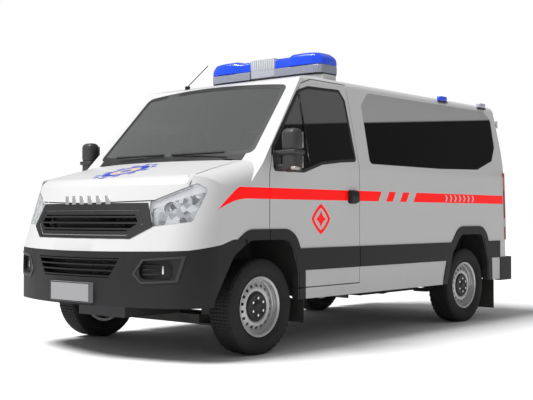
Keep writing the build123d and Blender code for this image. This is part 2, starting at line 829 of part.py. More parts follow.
with BuildPart() as pillar_ears:
    for height, pad_start, strap_end, ear_in, ear_out in rear_hinges:
        for low in (-strap_height / 2 - seat - ear_height, strap_height / 2 + seat):
            with BuildSketch(tail_hinge_plane(height).offset(low)):
                Circle(tail_tube)
                with BuildLine():
                    Polyline((-ear_in, -rear_hinge_off), (-ear_in, -rear_hinge_off - cut / 2),
                             (ear_out + cut / 4, -rear_hinge_off - cut / 2), (ear_out + cut / 4, -rear_hinge_off),
                             (tail_tube / 2, tail_tube / 2), (-tail_tube / 2, tail_tube / 2), close=True)
                make_face()
            extrude(amount=ear_height)
        with BuildSketch(tail_hinge_plane(height).offset(-strap_height / 2 - seat)):
            Circle(tail_pin)
        extrude(amount=strap_height + 2 * seat)

# Body side with its hinge pins, window rebate and sliding door
with BuildPart() as body_side:
    add(side_left.part)
    add(side_rebate.part, mode=Mode.SUBTRACT)
    add(hinge_pockets.part, mode=Mode.SUBTRACT)
    add(hinge_pins.part)
    add(pillar_ears.part)
write(body_side, "body_side_left")

slider_front_x = -1240
slider_rear_x = -2432
slider_low_z = 480
slider_high_z = 2080
slider_gap = 5
slider_round = 45
latch_heights = (700, 1250)
latch_inset = 30
latch_size = 60
slider_points = [(slider_front_x, slider_low_z), (slider_front_x, slider_high_z),
                 (slider_rear_x, slider_high_z), (slider_rear_x, slider_low_z)]
with BuildPart() as slider_hole:
    with BuildSketch(Plane.XZ) as face:
        with BuildLine():
            Polyline(*slider_points, close=True)
        make_face()
        fillet(face.vertices(), slider_round)
    extrude(amount=body_width)
with BuildPart() as slider_form:
    with BuildSketch(Plane.XZ) as face:
        with BuildLine():
            Polyline(*slider_points, close=True)
        make_face()
        fillet(face.vertices(), slider_round)
        offset(amount=-slider_gap)
    extrude(amount=body_width)

with BuildPart() as body_side_right:
    mirror(body_side.part, about=Plane.XZ)
    add(slider_hole.part, mode=Mode.SUBTRACT)
write(body_side_right, "body_side_right")

with BuildPart() as sliding_door:
    mirror(body_side.part, about=Plane.XZ)
    add(slider_form.part, mode=Mode.INTERSECT)
    for edge in (slider_front_x - slider_gap, slider_rear_x + slider_gap):
        for height in latch_heights:
            with Locations((edge, latch_inset - half_width, height)):
                Box(2 * (slider_gap - seat), latch_size / 2, latch_size)
write(sliding_door, "sliding_door")

with BuildPart() as slider_pane:
    mirror(side_pane_left.part, about=Plane.XZ)
    add(slider_form.part, mode=Mode.INTERSECT)

with BuildPart() as side_windows:
    mirror(side_pane_left.part, about=Plane.XZ)
    add(slider_hole.part, mode=Mode.SUBTRACT)
    add(slider_pane.part)
    add(side_pane_left.part)
write(side_windows, "side_windows")

# Wings with the outer part of the pockets
with BuildPart() as wings:
    add(wing_left.part)
    add(hinge_pockets.part, mode=Mode.SUBTRACT)
    mirror(about=Plane.XZ)
write(wings, "wings")
write(cowl, "cowl")

with BuildPart() as windscreen:
    add(glass_layer.part)
    add(screen_pane, mode=Mode.INTERSECT)
write(windscreen, "windscreen")

# Cab doors
with BuildPart() as cab_rebate:
    add(rebate_layer.part)
    add(cab_pane, mode=Mode.INTERSECT)
    add(door_region, mode=Mode.INTERSECT)

with BuildPart() as cab_door:
    add(shell.part)
    add(door_region, mode=Mode.INTERSECT)
    for space in (arches.part, cab_hole, cab_rebate.part):
        add(space, mode=Mode.SUBTRACT)
    with Locations((door_hinge_x, door_hinge_y, (door_knee_z + door_tip_z) / 2)):
        Cone(door_edge_radius, door_tip_radius, door_tip_z - door_knee_z, mode=Mode.SUBTRACT)
    add(hinge_arms.part)
write_pair(cab_door, "cab_door")

with BuildPart() as cab_glass:
    add(glass_layer.part)
    add(cab_pane, mode=Mode.INTERSECT)
    add(door_region, mode=Mode.INTERSECT)
write_pair(cab_glass, "cab_door_glass")

# Rear doors
rear_pane_low_z = 1420
rear_pane_high_z = 1960
rear_pane_top_half = 690
rear_pane_inner_y = 110
rear_pane_outer_y = 770
rear_pane_round = 45
rear_pane_points = [(rear_pane_inner_y, rear_pane_low_z), (rear_pane_outer_y, rear_pane_low_z),
                    (rear_pane_top_half, rear_pane_high_z), (rear_pane_inner_y, rear_pane_high_z)]
rear_pane = front_region(rear_pane_points, tail_x - cut, tail_x + rear_door_depth, rear_pane_round)
with BuildPart() as rear_hole:
    with BuildSketch(Plane.YZ.offset(tail_x - cut)) as face:
        with BuildLine():
            Polyline(*rear_pane_points, close=True)
        make_face()
        fillet(face.vertices(), rear_pane_round)
        offset(amount=-window_frame)
    extrude(amount=cut + rear_door_depth)

with BuildPart() as rear_rebate:
    add(rebate_layer.part)
    add(rear_pane, mode=Mode.INTERSECT)

with BuildPart() as rear_door:
    add(shell.part)
    add(rear_region, mode=Mode.INTERSECT)
    for space in (rear_hole.part, rear_rebate.part):
        add(space, mode=Mode.SUBTRACT)
    add(door_straps.part)
write_pair(rear_door, "rear_door")

with BuildPart() as rear_glass:
    add(glass_layer.part)
    add(rear_pane, mode=Mode.INTERSECT)
write_pair(rear_glass, "rear_door_glass")

# Wheels
wheel_y = track / 2
tyre_radius = 349
tyre_width = 225
tread_half = 95
bead_radius = 206
bead_half = 85
bead_height = 20
tyre_shoulder = 14
tyre_thick = 13
rim_flange_radius = 221
rim_half = 92
rim_well_radius = 186
rim_thick = 7
disc_face_y = 46
disc_dish_y = 60
disc_thick = 8
disc_hat_radius = 92
disc_hole_circle = 142
disc_hole_radius = 14
disc_holes = 16
hole_sides = 6
wheel_sides = 32
hub_radius = 46
hub_inner_y = -46
cap_radius = 78
cap_depth = 30
spindle_radius = 30
spindle_end_y = 42
rotor_radius = 138
rotor_thick = 22
rotor_y = -20
drum_radius = 150
drum_inner_y = -70


def ring_form(x, profile):
    """Straight-sided form of revolution through a profile of (out from the wheel's middle, radius)."""
    with BuildPart() as form:
        for out, radius in profile:
            with BuildSketch(Plane.XZ.offset(-wheel_y - out)):
                with Locations((x, tyre_radius)):
                    RegularPolygon(radius, wheel_sides)
        loft(ruled=True)
    return form.part


def both_ways(half_profile):
    """A profile that is the same on both sides of the wheel's middle, from its inner end to its outer one."""
    return [(-out, radius) for out, radius in half_profile] + half_profile[::-1]


def tyre(x):
    """Left tyre: an open casing from bead to bead."""
    half = tyre_width / 2
    bead = bead_half - seat
    side_radius = (bead_radius + tyre_radius) / 2
    with BuildPart() as casing:
        add(ring_form(x, both_ways([
            (bead, bead_radius + seat), (bead, bead_radius + bead_height),
            (half - tyre_thick, bead_radius + 3 * tyre_thick), (half, side_radius),
            (half - tyre_thick / 2, tyre_radius - 2 * tyre_shoulder), (tread_half, tyre_radius - tyre_shoulder / 2),
            (tread_half - tyre_shoulder, tyre_radius)])))
        add(ring_form(x, both_ways([
            (bead - tyre_thick, bead_radius), (half - tyre_thick, side_radius),
            (tread_half - tyre_thick, tyre_radius - tyre_shoulder - tyre_thick)])), mode=Mode.SUBTRACT)
        add(ring_form(x, both_ways([(half, bead_radius + seat)])), mode=Mode.SUBTRACT)
    return casing


def rim(x, driven):
    """Left steel wheel with its hub, and a brake disc, or a drum on the driven axle."""
    inside_radius = bead_radius - rim_thick
    well_inside = rim_well_radius - rim_thick
    disc_back_y = disc_face_y - disc_thick
    with BuildPart() as steel:
        add(ring_form(x, both_ways([
            (rim_half, rim_flange_radius), (bead_half, rim_flange_radius), (bead_half, bead_radius),
            (bead_half / 2, bead_radius), (bead_half / 3, rim_well_radius)])))
        add(ring_form(x, [
            (-rim_half, inside_radius), (-bead_half / 2, inside_radius), (-bead_half / 3, well_inside),
            (disc_back_y, well_inside), (disc_dish_y - disc_thick, disc_hat_radius + cap_depth),
            (disc_back_y, disc_hat_radius)]), mode=Mode.SUBTRACT)
        add(ring_form(x, [
            (rim_half, inside_radius), (disc_dish_y, inside_radius), (disc_face_y, well_inside),
            (disc_dish_y, disc_hat_radius + cap_depth), (disc_face_y, disc_hat_radius)]), mode=Mode.SUBTRACT)
        with BuildSketch(Plane.XZ.offset(-wheel_y - hub_inner_y)):
            with Locations((x, tyre_radius)):
                with PolarLocations(disc_hole_circle, disc_holes):
                    RegularPolygon(disc_hole_radius, hole_sides)
        extrude(amount=-tyre_width, mode=Mode.SUBTRACT)
        brake_radius = drum_radius if driven else rotor_radius
        brake_y = drum_inner_y if driven else rotor_y - rotor_thick / 2
        brake_end_y = hub_inner_y + rotor_thick if driven else rotor_y + rotor_thick / 2
        add(ring_form(x, [(brake_y, brake_radius), (brake_end_y, brake_radius)]))
        with BuildSketch(Plane.XZ.offset(-wheel_y - brake_y)):
            with Locations((x, tyre_radius)):
                RegularPolygon(hub_radius, wheel_sides)
        extrude(amount=brake_y - brake_end_y, mode=Mode.SUBTRACT)
        add(ring_form(x, [(disc_face_y, cap_radius), (disc_face_y + cap_depth, cap_radius - cap_depth / 2)]))
        add(ring_form(x, [(hub_inner_y, hub_radius), (disc_face_y, hub_radius)]))
        with BuildSketch(Plane.XZ.offset(-wheel_y - hub_inner_y)):
            with Locations((x, tyre_radius)):
                Circle(spindle_radius + running)
        extrude(amount=hub_inner_y - spindle_end_y - cap_depth / 6, mode=Mode.SUBTRACT)
    return steel


front_tyre = tyre(0)
with BuildPart() as rear_tyre:
    with Locations((-wheelbase, 0, 0)):
        add(front_tyre.part)
write_pair(front_tyre, "tyre_front")
write_pair(rear_tyre, "tyre_rear")
write_pair(rim(0, False), "rim_front")
write_pair(rim(-wheelbase, True), "rim_rear")

# Front knuckles and suspension, about the inclined steering axis
kingpin_y = 800
kingpin_z = 230
kingpin_lean = 14
lug_radius = 24
lug_height = 36
ball_radius = 10
upright_half = 22
upright_depth = 40
strut_radius = 26
strut_low = 190
strut_high = 560
strut_rod_radius = 11
strut_bore_depth = 160
strut_top = 730
tower_radius = 70
tower_wall = 6
tower_height = 90
spindle_flange = 48
spindle_tip_y = spindle_end_y
steer_plane = Plane(origin=(0, kingpin_y, kingpin_z), x_dir=(1, 0, 0),
                    z_dir=(0, -sin(radians(kingpin_lean)), cos(radians(kingpin_lean))))
upright_y = kingpin_y - (tyre_radius - kingpin_z) * sin(radians(kingpin_lean)) / cos(radians(kingpin_lean))

with BuildPart() as knuckle:
    with BuildSketch(steer_plane.offset(-lug_height / 2)):
        Circle(lug_radius)
    extrude(amount=lug_height)
    with BuildSketch(steer_plane.offset(strut_low)):
        Circle(strut_radius)
    extrude(amount=strut_high - strut_low)
    with BuildSketch(Plane.YZ):
        with BuildLine():
            Polyline((kingpin_y - lug_radius / 2, kingpin_z), (kingpin_y + lug_radius / 2, kingpin_z),
                     (upright_y + upright_depth, tyre_radius), (upright_y, kingpin_z + strut_low + cut),
                     (upright_y - upright_depth, kingpin_z + strut_low + cut), close=True)
        make_face()
    extrude(amount=upright_half, both=True)
    with BuildSketch(Plane.XZ.offset(-upright_y)):
        with Locations((0, tyre_radius)):
            Circle(spindle_radius)
    extrude(amount=-(wheel_y + spindle_tip_y - upright_y))
    with BuildSketch(steer_plane.offset(-lug_height)):
        Circle(ball_radius + running)
    extrude(amount=2 * lug_height, mode=Mode.SUBTRACT)
    with BuildSketch(steer_plane.offset(strut_high - strut_bore_depth)):
        Circle(strut_rod_radius + running)
    extrude(amount=strut_bore_depth, mode=Mode.SUBTRACT)
write_pair(knuckle, "knuckle")

# Liner outlines stand outside the arch openings
liner_grow = 24
liner_thick = 6
liner_inner_y = 545
liner_outer_y = 930
rear_liner_inner_y = 700
liner_low_z = 400
liner_top_z = arch_high_z + liner_grow + liner_thick


def liner(outline, inner_y):
    """Left wheel arch liner: a curved shell closed on its inner side and open below."""
    with BuildPart() as shell_form:
        for grow, from_y, mode in ((liner_grow + liner_thick, inner_y, Mode.ADD),
                                   (liner_grow, inner_y + liner_thick, Mode.SUBTRACT)):
            with BuildSketch(Plane.XZ.offset(-from_y)) as face:
                with BuildLine():
                    Polyline(*outline, close=True)
                make_face()
                fillet(face.vertices().sort_by(Axis.Y)[2:], arch_round)
                offset(amount=grow)
            extrude(amount=-(liner_outer_y - from_y), mode=mode)
        split(bisect_by=Plane.XY.offset(liner_low_z), keep=Keep.TOP)
    return shell_form


with BuildPart() as wheel_liners:
    add(liner(front_arch_outline, liner_inner_y).part)
    with BuildSketch(steer_plane):
        Circle(strut_radius * 2)
    extrude(amount=strut_top + tower_height, mode=Mode.SUBTRACT)
    add(liner(rear_arch_outline, rear_liner_inner_y).part)
    add(wall_in_form, mode=Mode.INTERSECT)
    mirror(about=Plane.XZ)
write(wheel_liners, "wheel_liners")

# Frame rails and cross-members
rail_inner_y = 430
rail_outer_y = 490
rail_low_z = 455
rail_high_z = 560
rail_front_x = 640
rail_rear_x = -3760
cross_width = 70
cross_places = (-760, -1500, -2350, -3700)
with BuildPart() as frame_rails:
    with BuildSketch(Plane.XY.offset(rail_low_z)):
        with Locations(((rail_front_x + rail_rear_x) / 2, (rail_inner_y + rail_outer_y) / 2)):
            Rectangle(rail_front_x - rail_rear_x, rail_outer_y - rail_inner_y)
    extrude(amount=rail_high_z - rail_low_z)
    mirror(about=Plane.XZ)
    with BuildSketch(Plane.XY.offset((rail_low_z + rail_high_z) / 2)):
        with Locations(*[(x, 0) for x in cross_places]):
            Rectangle(cross_width, 2 * rail_inner_y)
    extrude(amount=(rail_high_z - rail_low_z) / 2)
write(frame_rails, "frame_rails")

# Front cross-member, lower arms and strut mounts
arm_pivot_y = 400
arm_low_z = 186
arm_high_z = kingpin_z - lug_height / 2 - cut / 4
arm_tip_half = 26
subframe_half = 70
subframe_low_z = 190
subframe_high_z = 262
arm_rear_x = -200
with BuildPart() as front_suspension:
    with BuildSketch(Plane.XY.offset(arm_low_z)):
        with BuildLine():
            Polyline((arm_rear_x, arm_pivot_y), (subframe_half, arm_pivot_y), (arm_tip_half, kingpin_y),
                     (-arm_tip_half, kingpin_y), close=True)
        make_face()
        with Locations((0, kingpin_y)):
            Circle(arm_tip_half)
    extrude(amount=arm_high_z - arm_low_z)
    with BuildSketch(steer_plane.offset(-lug_height)):
        Circle(ball_radius)
    extrude(amount=2 * lug_height)
    split(bisect_by=Plane.XY.offset(arm_low_z), keep=Keep.TOP)
    with BuildSketch(steer_plane.offset(strut_high - strut_bore_depth / 2)):
        Circle(strut_rod_radius)
    extrude(amount=strut_top - strut_high + strut_bore_depth / 2)
    with BuildSketch(steer_plane.offset(strut_top)):
        Circle(tower_radius)
    extrude(amount=tower_wall)
    with BuildSketch(Plane.XY.offset(subframe_low_z)):
        with Locations(((subframe_half + arm_rear_x) / 2, arm_pivot_y / 2)):
            Rectangle(subframe_half - arm_rear_x, arm_pivot_y)
    extrude(amount=subframe_high_z - subframe_low_z)
    with BuildSketch(Plane.XY.offset(subframe_high_z)):
        with Locations((0, rail_inner_y), (arm_rear_x + subframe_half, rail_inner_y)):
            Rectangle(subframe_half, 2 * (rail_outer_y - rail_inner_y) - cut)
    extrude(amount=rail_low_z - subframe_high_z)
    mirror(about=Plane.XZ)

# Strut towers stand on the liners and hold the strut tops
with BuildPart() as strut_towers:
    with BuildSketch(steer_plane.offset(strut_top - tower_height)):
        Circle(tower_radius + tower_wall)
        Circle(tower_radius, mode=Mode.SUBTRACT)
    extrude(amount=tower_height + tower_wall)
    split(bisect_by=Plane.XY.offset(liner_top_z), keep=Keep.TOP)
    mirror(about=Plane.XZ)
    add(front_suspension.part)
write(strut_towers, "front_suspension")

# Rear axle on leaf springs
axle_radius = 42
diff_radius = 135
axle_end_y = 780
leaf_y = 540
leaf_width = 60
leaf_end_reach = 620
leaf_eye_z = 430
leaf_low_z = 268
leaf_thick = 12
leaf_count = 3
clamp_half = 55
with BuildPart() as rear_axle:
    with BuildSketch(Plane.XZ):
        with Locations((-wheelbase, tyre_radius)):
            Circle(axle_radius)
    extrude(amount=axle_end_y, both=True)
    with BuildSketch(Plane.XZ):
        with Locations((-wheelbase, tyre_radius)):
            Circle(spindle_radius)
    extrude(amount=wheel_y + spindle_tip_y, both=True)
    with Locations((-wheelbase, 0, tyre_radius)):
        Sphere(diff_radius)

leaf_rise = leaf_eye_z - leaf_low_z - leaf_count * leaf_thick
leaf_radius = (leaf_end_reach ** 2 + leaf_rise ** 2) / (2 * leaf_rise)
with BuildPart() as leaf_springs:
    for count in range(leaf_count):
        reach = leaf_end_reach * (leaf_count - count) / leaf_count
        inner = leaf_radius + count * leaf_thick
        with BuildSketch(Plane.XZ.offset(-leaf_y + leaf_width / 2)):
            with Locations((-wheelbase, leaf_low_z + leaf_count * leaf_thick + leaf_radius)):
                Circle(inner + leaf_thick)
                Circle(inner, mode=Mode.SUBTRACT)
            with Locations((-wheelbase, leaf_low_z)):
                Rectangle(2 * reach, 2 * (leaf_eye_z - leaf_low_z), mode=Mode.INTERSECT)
        extrude(amount=-leaf_width)
    saddle_low_z = leaf_low_z + leaf_count * leaf_thick
    with Locations((-wheelbase, leaf_y, (saddle_low_z + tyre_radius - axle_radius) / 2)):
        Box(2 * clamp_half, leaf_width, tyre_radius - axle_radius - saddle_low_z)
    with BuildSketch(Plane.XY.offset(leaf_eye_z)):
        with Locations((-wheelbase - leaf_end_reach + leaf_thick, leaf_y),
                       (-wheelbase + leaf_end_reach - leaf_thick, leaf_y)):
            Rectangle(cut, leaf_width)
    extrude(amount=rail_high_z - leaf_eye_z)
    mirror(about=Plane.XZ)
write(leaf_springs, "leaf_springs")

# Engine with its gearbox as plain blocks, radiator, propeller shaft
engine_rear_x = 130
engine_front_x = 690
engine_half = 260
engine_low_z = 275
engine_high_z = 880
gearbox_rear_x = -520
gearbox_half = 140
gearbox_low_z = 330
gearbox_high_z = 545
with BuildPart() as engine:
    with Locations(((engine_rear_x + engine_front_x) / 2, 0, (engine_low_z + engine_high_z) / 2)):
        Box(engine_front_x - engine_rear_x, 2 * engine_half, engine_high_z - engine_low_z)
    with Locations(((gearbox_rear_x + engine_rear_x) / 2, 0, (gearbox_low_z + gearbox_high_z) / 2)):
        Box(engine_rear_x - gearbox_rear_x, 2 * gearbox_half, gearbox_high_z - gearbox_low_z)
    with Locations((0, 0, (subframe_high_z + gearbox_low_z) / 2)):
        Box(subframe_half, subframe_half, gearbox_low_z - subframe_high_z)

radiator_x = 765
radiator_thick = 45
radiator_half = 360
radiator_low_z = 470
radiator_high_z = 950
with BuildPart() as radiator:
    with Locations((radiator_x, 0, (radiator_low_z + radiator_high_z) / 2)):
        Box(radiator_thick, 2 * radiator_half, radiator_high_z - radiator_low_z)
    bracket_x = (radiator_x + rail_front_x + seat) / 2
    bracket_z = (rail_low_z + rail_high_z) / 2
    with Locations((bracket_x, rail_inner_y - cut / 2, bracket_z), (bracket_x, cut / 2 - rail_inner_y, bracket_z)):
        Box(radiator_x - rail_front_x - seat, 4 * cut, cut)
    add(engine.part)
write(radiator, "engine")

shaft_radius = 38
shaft_front_z = 440
shaft_rear_x = -wheelbase + diff_radius - cut / 4
with BuildPart() as propshaft:
    run_x = gearbox_rear_x - shaft_rear_x
    run_z = shaft_front_z - tyre_radius
    shaft_plane = Plane(origin=(gearbox_rear_x - shaft_radius * run_z / run_x, 0, shaft_front_z), x_dir=(0, 1, 0), z_dir=(-run_x, 0, -run_z))
    with BuildSketch(shaft_plane):
        Circle(shaft_radius)
    extrude(amount=sqrt(run_x ** 2 + run_z ** 2))
    add(rear_axle.part)
write(propshaft, "rear_axle")

# Fuel tank and exhaust under the floor
floor_low_z = 565
floor_high_z = 600
tank_front_x = -1500
tank_rear_x = -2330
tank_inner_y = 520
tank_outer_y = 830
tank_low_z = 330
tank_round = 50
with BuildPart() as fuel_tank:
    with BuildSketch(Plane.YZ.offset(tank_rear_x)) as face:
        with Locations(((tank_inner_y + tank_outer_y) / 2, (tank_low_z + floor_low_z) / 2)):
            Rectangle(tank_outer_y - tank_inner_y, floor_low_z - tank_low_z)
        fillet(face.vertices().group_by(Axis.Y)[0], tank_round)
    extrude(amount=tank_front_x - tank_rear_x)
write(fuel_tank, "fuel_tank")

pipe_radius = 26
pipe_y = -640
muffler_radius = 84
pipe_z = floor_low_z - muffler_radius - seat
muffler_length = 700
muffler_x = -1900
pipe_front_x = -620
pipe_tail_x = -3690
pipe_low_z = 330
with BuildPart() as exhaust:
    with BuildSketch(Plane.YZ.offset(pipe_tail_x)):
        with Locations((pipe_y, pipe_z)):
            Circle(pipe_radius)
    extrude(amount=pipe_front_x - pipe_tail_x)
    with BuildSketch(Plane.YZ.offset(muffler_x - muffler_length / 2)):
        with Locations((pipe_y, pipe_z)):
            Circle(muffler_radius)
    extrude(amount=muffler_length)
    with BuildSketch(Plane.XY.offset(pipe_low_z)):
        with Locations((pipe_tail_x, pipe_y)):
            Circle(pipe_radius)
    extrude(amount=pipe_z - pipe_low_z)
    with Locations((pipe_tail_x, pipe_y, pipe_z)):
        Sphere(pipe_radius)
write(exhaust, "exhaust")

# Mud flaps
flap_thick = 6
flap_front_x = -462
flap_rear_x = -3520
flap_front_low_z = 200
flap_rear_low_z = 95
flap_inner_y = 790
flap_outer_y = 992
with BuildPart() as mud_flaps:
    for x, low in ((flap_front_x, flap_front_low_z), (flap_rear_x, flap_rear_low_z)):
        with Locations((x, (flap_inner_y + flap_outer_y) / 2, (low + sill_z) / 2)):
            Box(flap_thick, flap_outer_y - flap_inner_y, sill_z - low)
    mirror(about=Plane.XZ)
write(mud_flaps, "mud_flaps")

# Floor with its firewall, cut away over the wheels
floor_front_x = -450
floor_rear_x = -3770
floor_half = half_width - wall
footwell_half = liner_inner_y
firewall_x = 60
firewall_thick = 25
firewall_high_z = 1360
footwell_front_x = firewall_x + firewall_thick
anchor_x = -1900
anchor_y = -500
anchor_length = 240
anchor_width = 160
anchor_height = 4
with BuildPart() as floor:
    with BuildSketch(Plane.XY.offset(floor_low_z)):
        with Locations(((floor_front_x + floor_rear_x) / 2, 0)):
            Rectangle(floor_front_x - floor_rear_x, 2 * floor_half)
        with Locations(((floor_front_x + footwell_front_x) / 2, 0)):
            Rectangle(footwell_front_x - floor_front_x, 2 * footwell_half)
    extrude(amount=floor_high_z - floor_low_z)
    with Locations((firewall_x + firewall_thick / 2, 0, (floor_low_z + firewall_high_z) / 2)):
        Box(firewall_thick, 2 * footwell_half, firewall_high_z - floor_low_z)
    for side in (1, -1):
        with BuildSketch(Plane.XZ.offset(-side * floor_half)) as face:
            with BuildLine():
                Polyline(*rear_arch_outline, close=True)
            make_face()
            fillet(face.vertices().sort_by(Axis.Y)[2:], arch_round)
            offset(amount=liner_grow + liner_thick)
        extrude(amount=side * (floor_half - rear_liner_inner_y), mode=Mode.SUBTRACT)
    add(wall_in_form, mode=Mode.INTERSECT)
    with Locations((anchor_x, anchor_y, floor_high_z + anchor_height / 2)):
        Box(anchor_length, anchor_width, anchor_height)
write(floor, "floor")

# Dashboard with the steering column and wheel
dash_half = 915
dash_rear_x = -330
dash_low_z = 960
dash_high_z = 1330
dash_points = [(firewall_x, dash_low_z + 3 * cut), (firewall_x, dash_high_z + cut / 2),
               (0, dash_high_z + cut / 2), (dash_rear_x + 2 * cut, dash_high_z), (dash_rear_x, dash_high_z - 2 * cut),
               (dash_rear_x + cut, dash_low_z), (-2 * cut, dash_low_z)]
steer_x = -400
steer_y = 420
steer_z = 1200
steer_tilt = 32
steer_radius = 195
steer_rim = 14
column_reach = 260
column_radius = 34
hub_cap_radius = 70
steering_plane = Plane(origin=(steer_x, steer_y, steer_z), x_dir=(0, 1, 0),
                       z_dir=(-cos(radians(steer_tilt)), 0, sin(radians(steer_tilt))))
with BuildPart() as dashboard:
    add(side_region(dash_points, -dash_half, dash_half))
    add(wall_in_form, mode=Mode.INTERSECT)
    add(liner(front_arch_outline, 0).part, mode=Mode.SUBTRACT)
write(dashboard, "dashboard")

with BuildPart() as steering_wheel:
    with BuildSketch(steering_plane):
        Circle(steer_radius + steer_rim)
        Circle(steer_radius - steer_rim, mode=Mode.SUBTRACT)
        Rectangle(2 * steer_radius, 2 * steer_rim)
        with Locations((0, -steer_radius / 2)):
            Rectangle(2 * steer_rim, steer_radius)
        Circle(hub_cap_radius)
    extrude(amount=steer_rim, both=True)
    with BuildSketch(steering_plane):
        Circle(column_radius)
    extrude(amount=-column_reach)
    add(dashboard.part, mode=Mode.SUBTRACT)
write(steering_wheel, "steering_wheel")

# Cab seats
seat_rear_x = -1090
seat_depth = 470
seat_cushion_z = 880
seat_thick = 110
seat_back_thick = 110
seat_back_top_z = 1540
seat_lean = 100
seat_round = 30
plinth_inset = 50
driver_inner_y = 210
driver_outer_y = 730
bench_inner_y = -730
bench_outer_y = 110
head_width = 260
head_height = 170
head_gap = 25
with BuildPart() as cab_seats:
    for inner, outer in ((driver_inner_y, driver_outer_y), (bench_inner_y, bench_outer_y)):
        with BuildSketch(Plane.XZ.offset(-inner)):
            with BuildLine():
                Polyline((seat_rear_x, seat_cushion_z), (seat_rear_x + seat_depth + seat_back_thick, seat_cushion_z),
                         (seat_rear_x + seat_depth + seat_back_thick, seat_cushion_z + seat_thick),
                         (seat_rear_x + seat_back_thick, seat_cushion_z + seat_thick),
                         (seat_rear_x + seat_back_thick - seat_lean, seat_back_top_z),
                         (seat_rear_x - seat_lean, seat_back_top_z), close=True)
            make_face()
        extrude(amount=-(outer - inner))
        with Locations((seat_rear_x + (seat_depth + seat_back_thick) / 2, (inner + outer) / 2,
                        (floor_high_z + seat_cushion_z) / 2)):
            Box(seat_depth, outer - inner - 2 * plinth_inset, seat_cushion_z - floor_high_z)
write(cab_seats, "cab_seats")

# Partition behind the cab, with a window
partition_x = -1290
partition_thick = 30
hatch_half = 360
hatch_low_z = 1350
hatch_high_z = 1800
with BuildPart() as partition:
    add(wall_in_form)
    with Locations((partition_x, 0, (floor_high_z + ROOF_TOP_Z) / 2)):
        Box(partition_thick, body_width, ROOF_TOP_Z - floor_high_z, mode=Mode.INTERSECT)
    with Locations((partition_x, 0, (hatch_low_z + hatch_high_z) / 2)):
        Box(2 * partition_thick, 2 * hatch_half, hatch_high_z - hatch_low_z, mode=Mode.SUBTRACT)
write(partition, "partition")

# Patient compartment: stretcher on its base, bench seat, low cupboards
stretcher_front_x = -1500
stretcher_rear_x = -3420
stretcher_half = 280
stretcher_y = 140
stretcher_base_z = 700
stretcher_frame_z = 960
stretcher_pad = 90
stretcher_leg = 50
with BuildPart() as stretcher_base:
    with BuildSketch(Plane.XY.offset(floor_high_z)):
        with Locations(((stretcher_front_x + stretcher_rear_x) / 2, stretcher_y)):
            Rectangle(stretcher_front_x - stretcher_rear_x, 2 * stretcher_half - 2 * stretcher_leg)
    extrude(amount=stretcher_base_z - floor_high_z)

with BuildPart() as stretcher:
    with BuildSketch(Plane.XY.offset(stretcher_base_z)):
        with Locations(((stretcher_front_x + stretcher_rear_x) / 2, stretcher_y)):
            with GridLocations((stretcher_front_x - stretcher_rear_x) * 2 / 3, 2 * stretcher_half - 4 * stretcher_leg, 2, 2):
                Rectangle(stretcher_leg, stretcher_leg)
    extrude(amount=stretcher_frame_z - stretcher_base_z)
    with BuildSketch(Plane.XY.offset(stretcher_frame_z)):
        with Locations(((stretcher_front_x + stretcher_rear_x) / 2, stretcher_y)):
            Rectangle(stretcher_front_x - stretcher_rear_x, 2 * stretcher_half)
    extrude(amount=stretcher_leg)
    add(stretcher_base.part)
write(stretcher, "stretcher")

with BuildPart() as stretcher_pad_soft:
    with BuildSketch(Plane.XY.offset(stretcher_frame_z + stretcher_leg)) as face:
        with Locations(((stretcher_front_x + stretcher_rear_x) / 2, stretcher_y)):
            Rectangle(stretcher_front_x - stretcher_rear_x - 2 * stretcher_leg, 2 * stretcher_half - stretcher_leg)
        fillet(face.vertices(), stretcher_leg)
    extrude(amount=stretcher_pad)

bench_rear_x = -3350
bench_front_x = -2480
bench_wall_y = -695
bench_edge_y = -330
bench_top_z = 980
bench_pad = 80
with BuildPart() as bench:
    with Locations(((bench_front_x + bench_rear_x) / 2, (bench_wall_y + bench_edge_y) / 2,
                    (floor_high_z + bench_top_z) / 2)):
        Box(bench_front_x - bench_rear_x, bench_edge_y - bench_wall_y, bench_top_z - floor_high_z)

with BuildPart() as cushions:
    add(stretcher_pad_soft.part)
    with Locations(((bench_front_x + bench_rear_x) / 2, (bench_wall_y + bench_edge_y) / 2, bench_top_z + bench_pad / 2)):
        Box(bench_front_x - bench_rear_x, bench_edge_y - bench_wall_y, bench_pad)
write(cushions, "patient_cushions")

cupboard_front_x = -1360
cupboard_rear_x = -2540
cupboard_inner_y = 520
cupboard_top_z = 1360
with BuildPart() as cupboards:
    with Locations(((cupboard_front_x + cupboard_rear_x) / 2, (cupboard_inner_y + floor_half) / 2,
                    (floor_high_z + cupboard_top_z) / 2)):
        Box(cupboard_front_x - cupboard_rear_x, floor_half - cupboard_inner_y, cupboard_top_z - floor_high_z)
    add(bench.part)
write(cupboards, "cupboards")

# Side mouldings, arch flares and sill band
band_low_z = 597
band_high_z = 765
band_gap = 4
band_front_x = -200
bumper_wrap_x = -3640
band_tail_x = bumper_wrap_x + band_gap
with BuildPart() as trim_left:
    with BuildSketch(Plane.XZ.offset(-half_width)):
        with Locations(((band_front_x + band_tail_x) / 2, (band_low_z + band_high_z) / 2)):
            Rectangle(band_front_x - band_tail_x, band_high_z - band_low_z)
    extrude(amount=-flare_proud)
    add(flares.part)
    add(arches.part, mode=Mode.SUBTRACT)

with BuildPart() as side_mouldings:
    add(trim_left.part)
    add(door_opening, mode=Mode.SUBTRACT)
    add(bumper_space.part, mode=Mode.SUBTRACT)
    mirror(about=Plane.XZ)
    add(slider_hole.part, mode=Mode.SUBTRACT)

with BuildPart() as slider_moulding:
    mirror(trim_left.part, about=Plane.XZ)
    add(slider_form.part, mode=Mode.INTERSECT)
    add(side_mouldings.part)
write(slider_moulding, "side_mouldings")

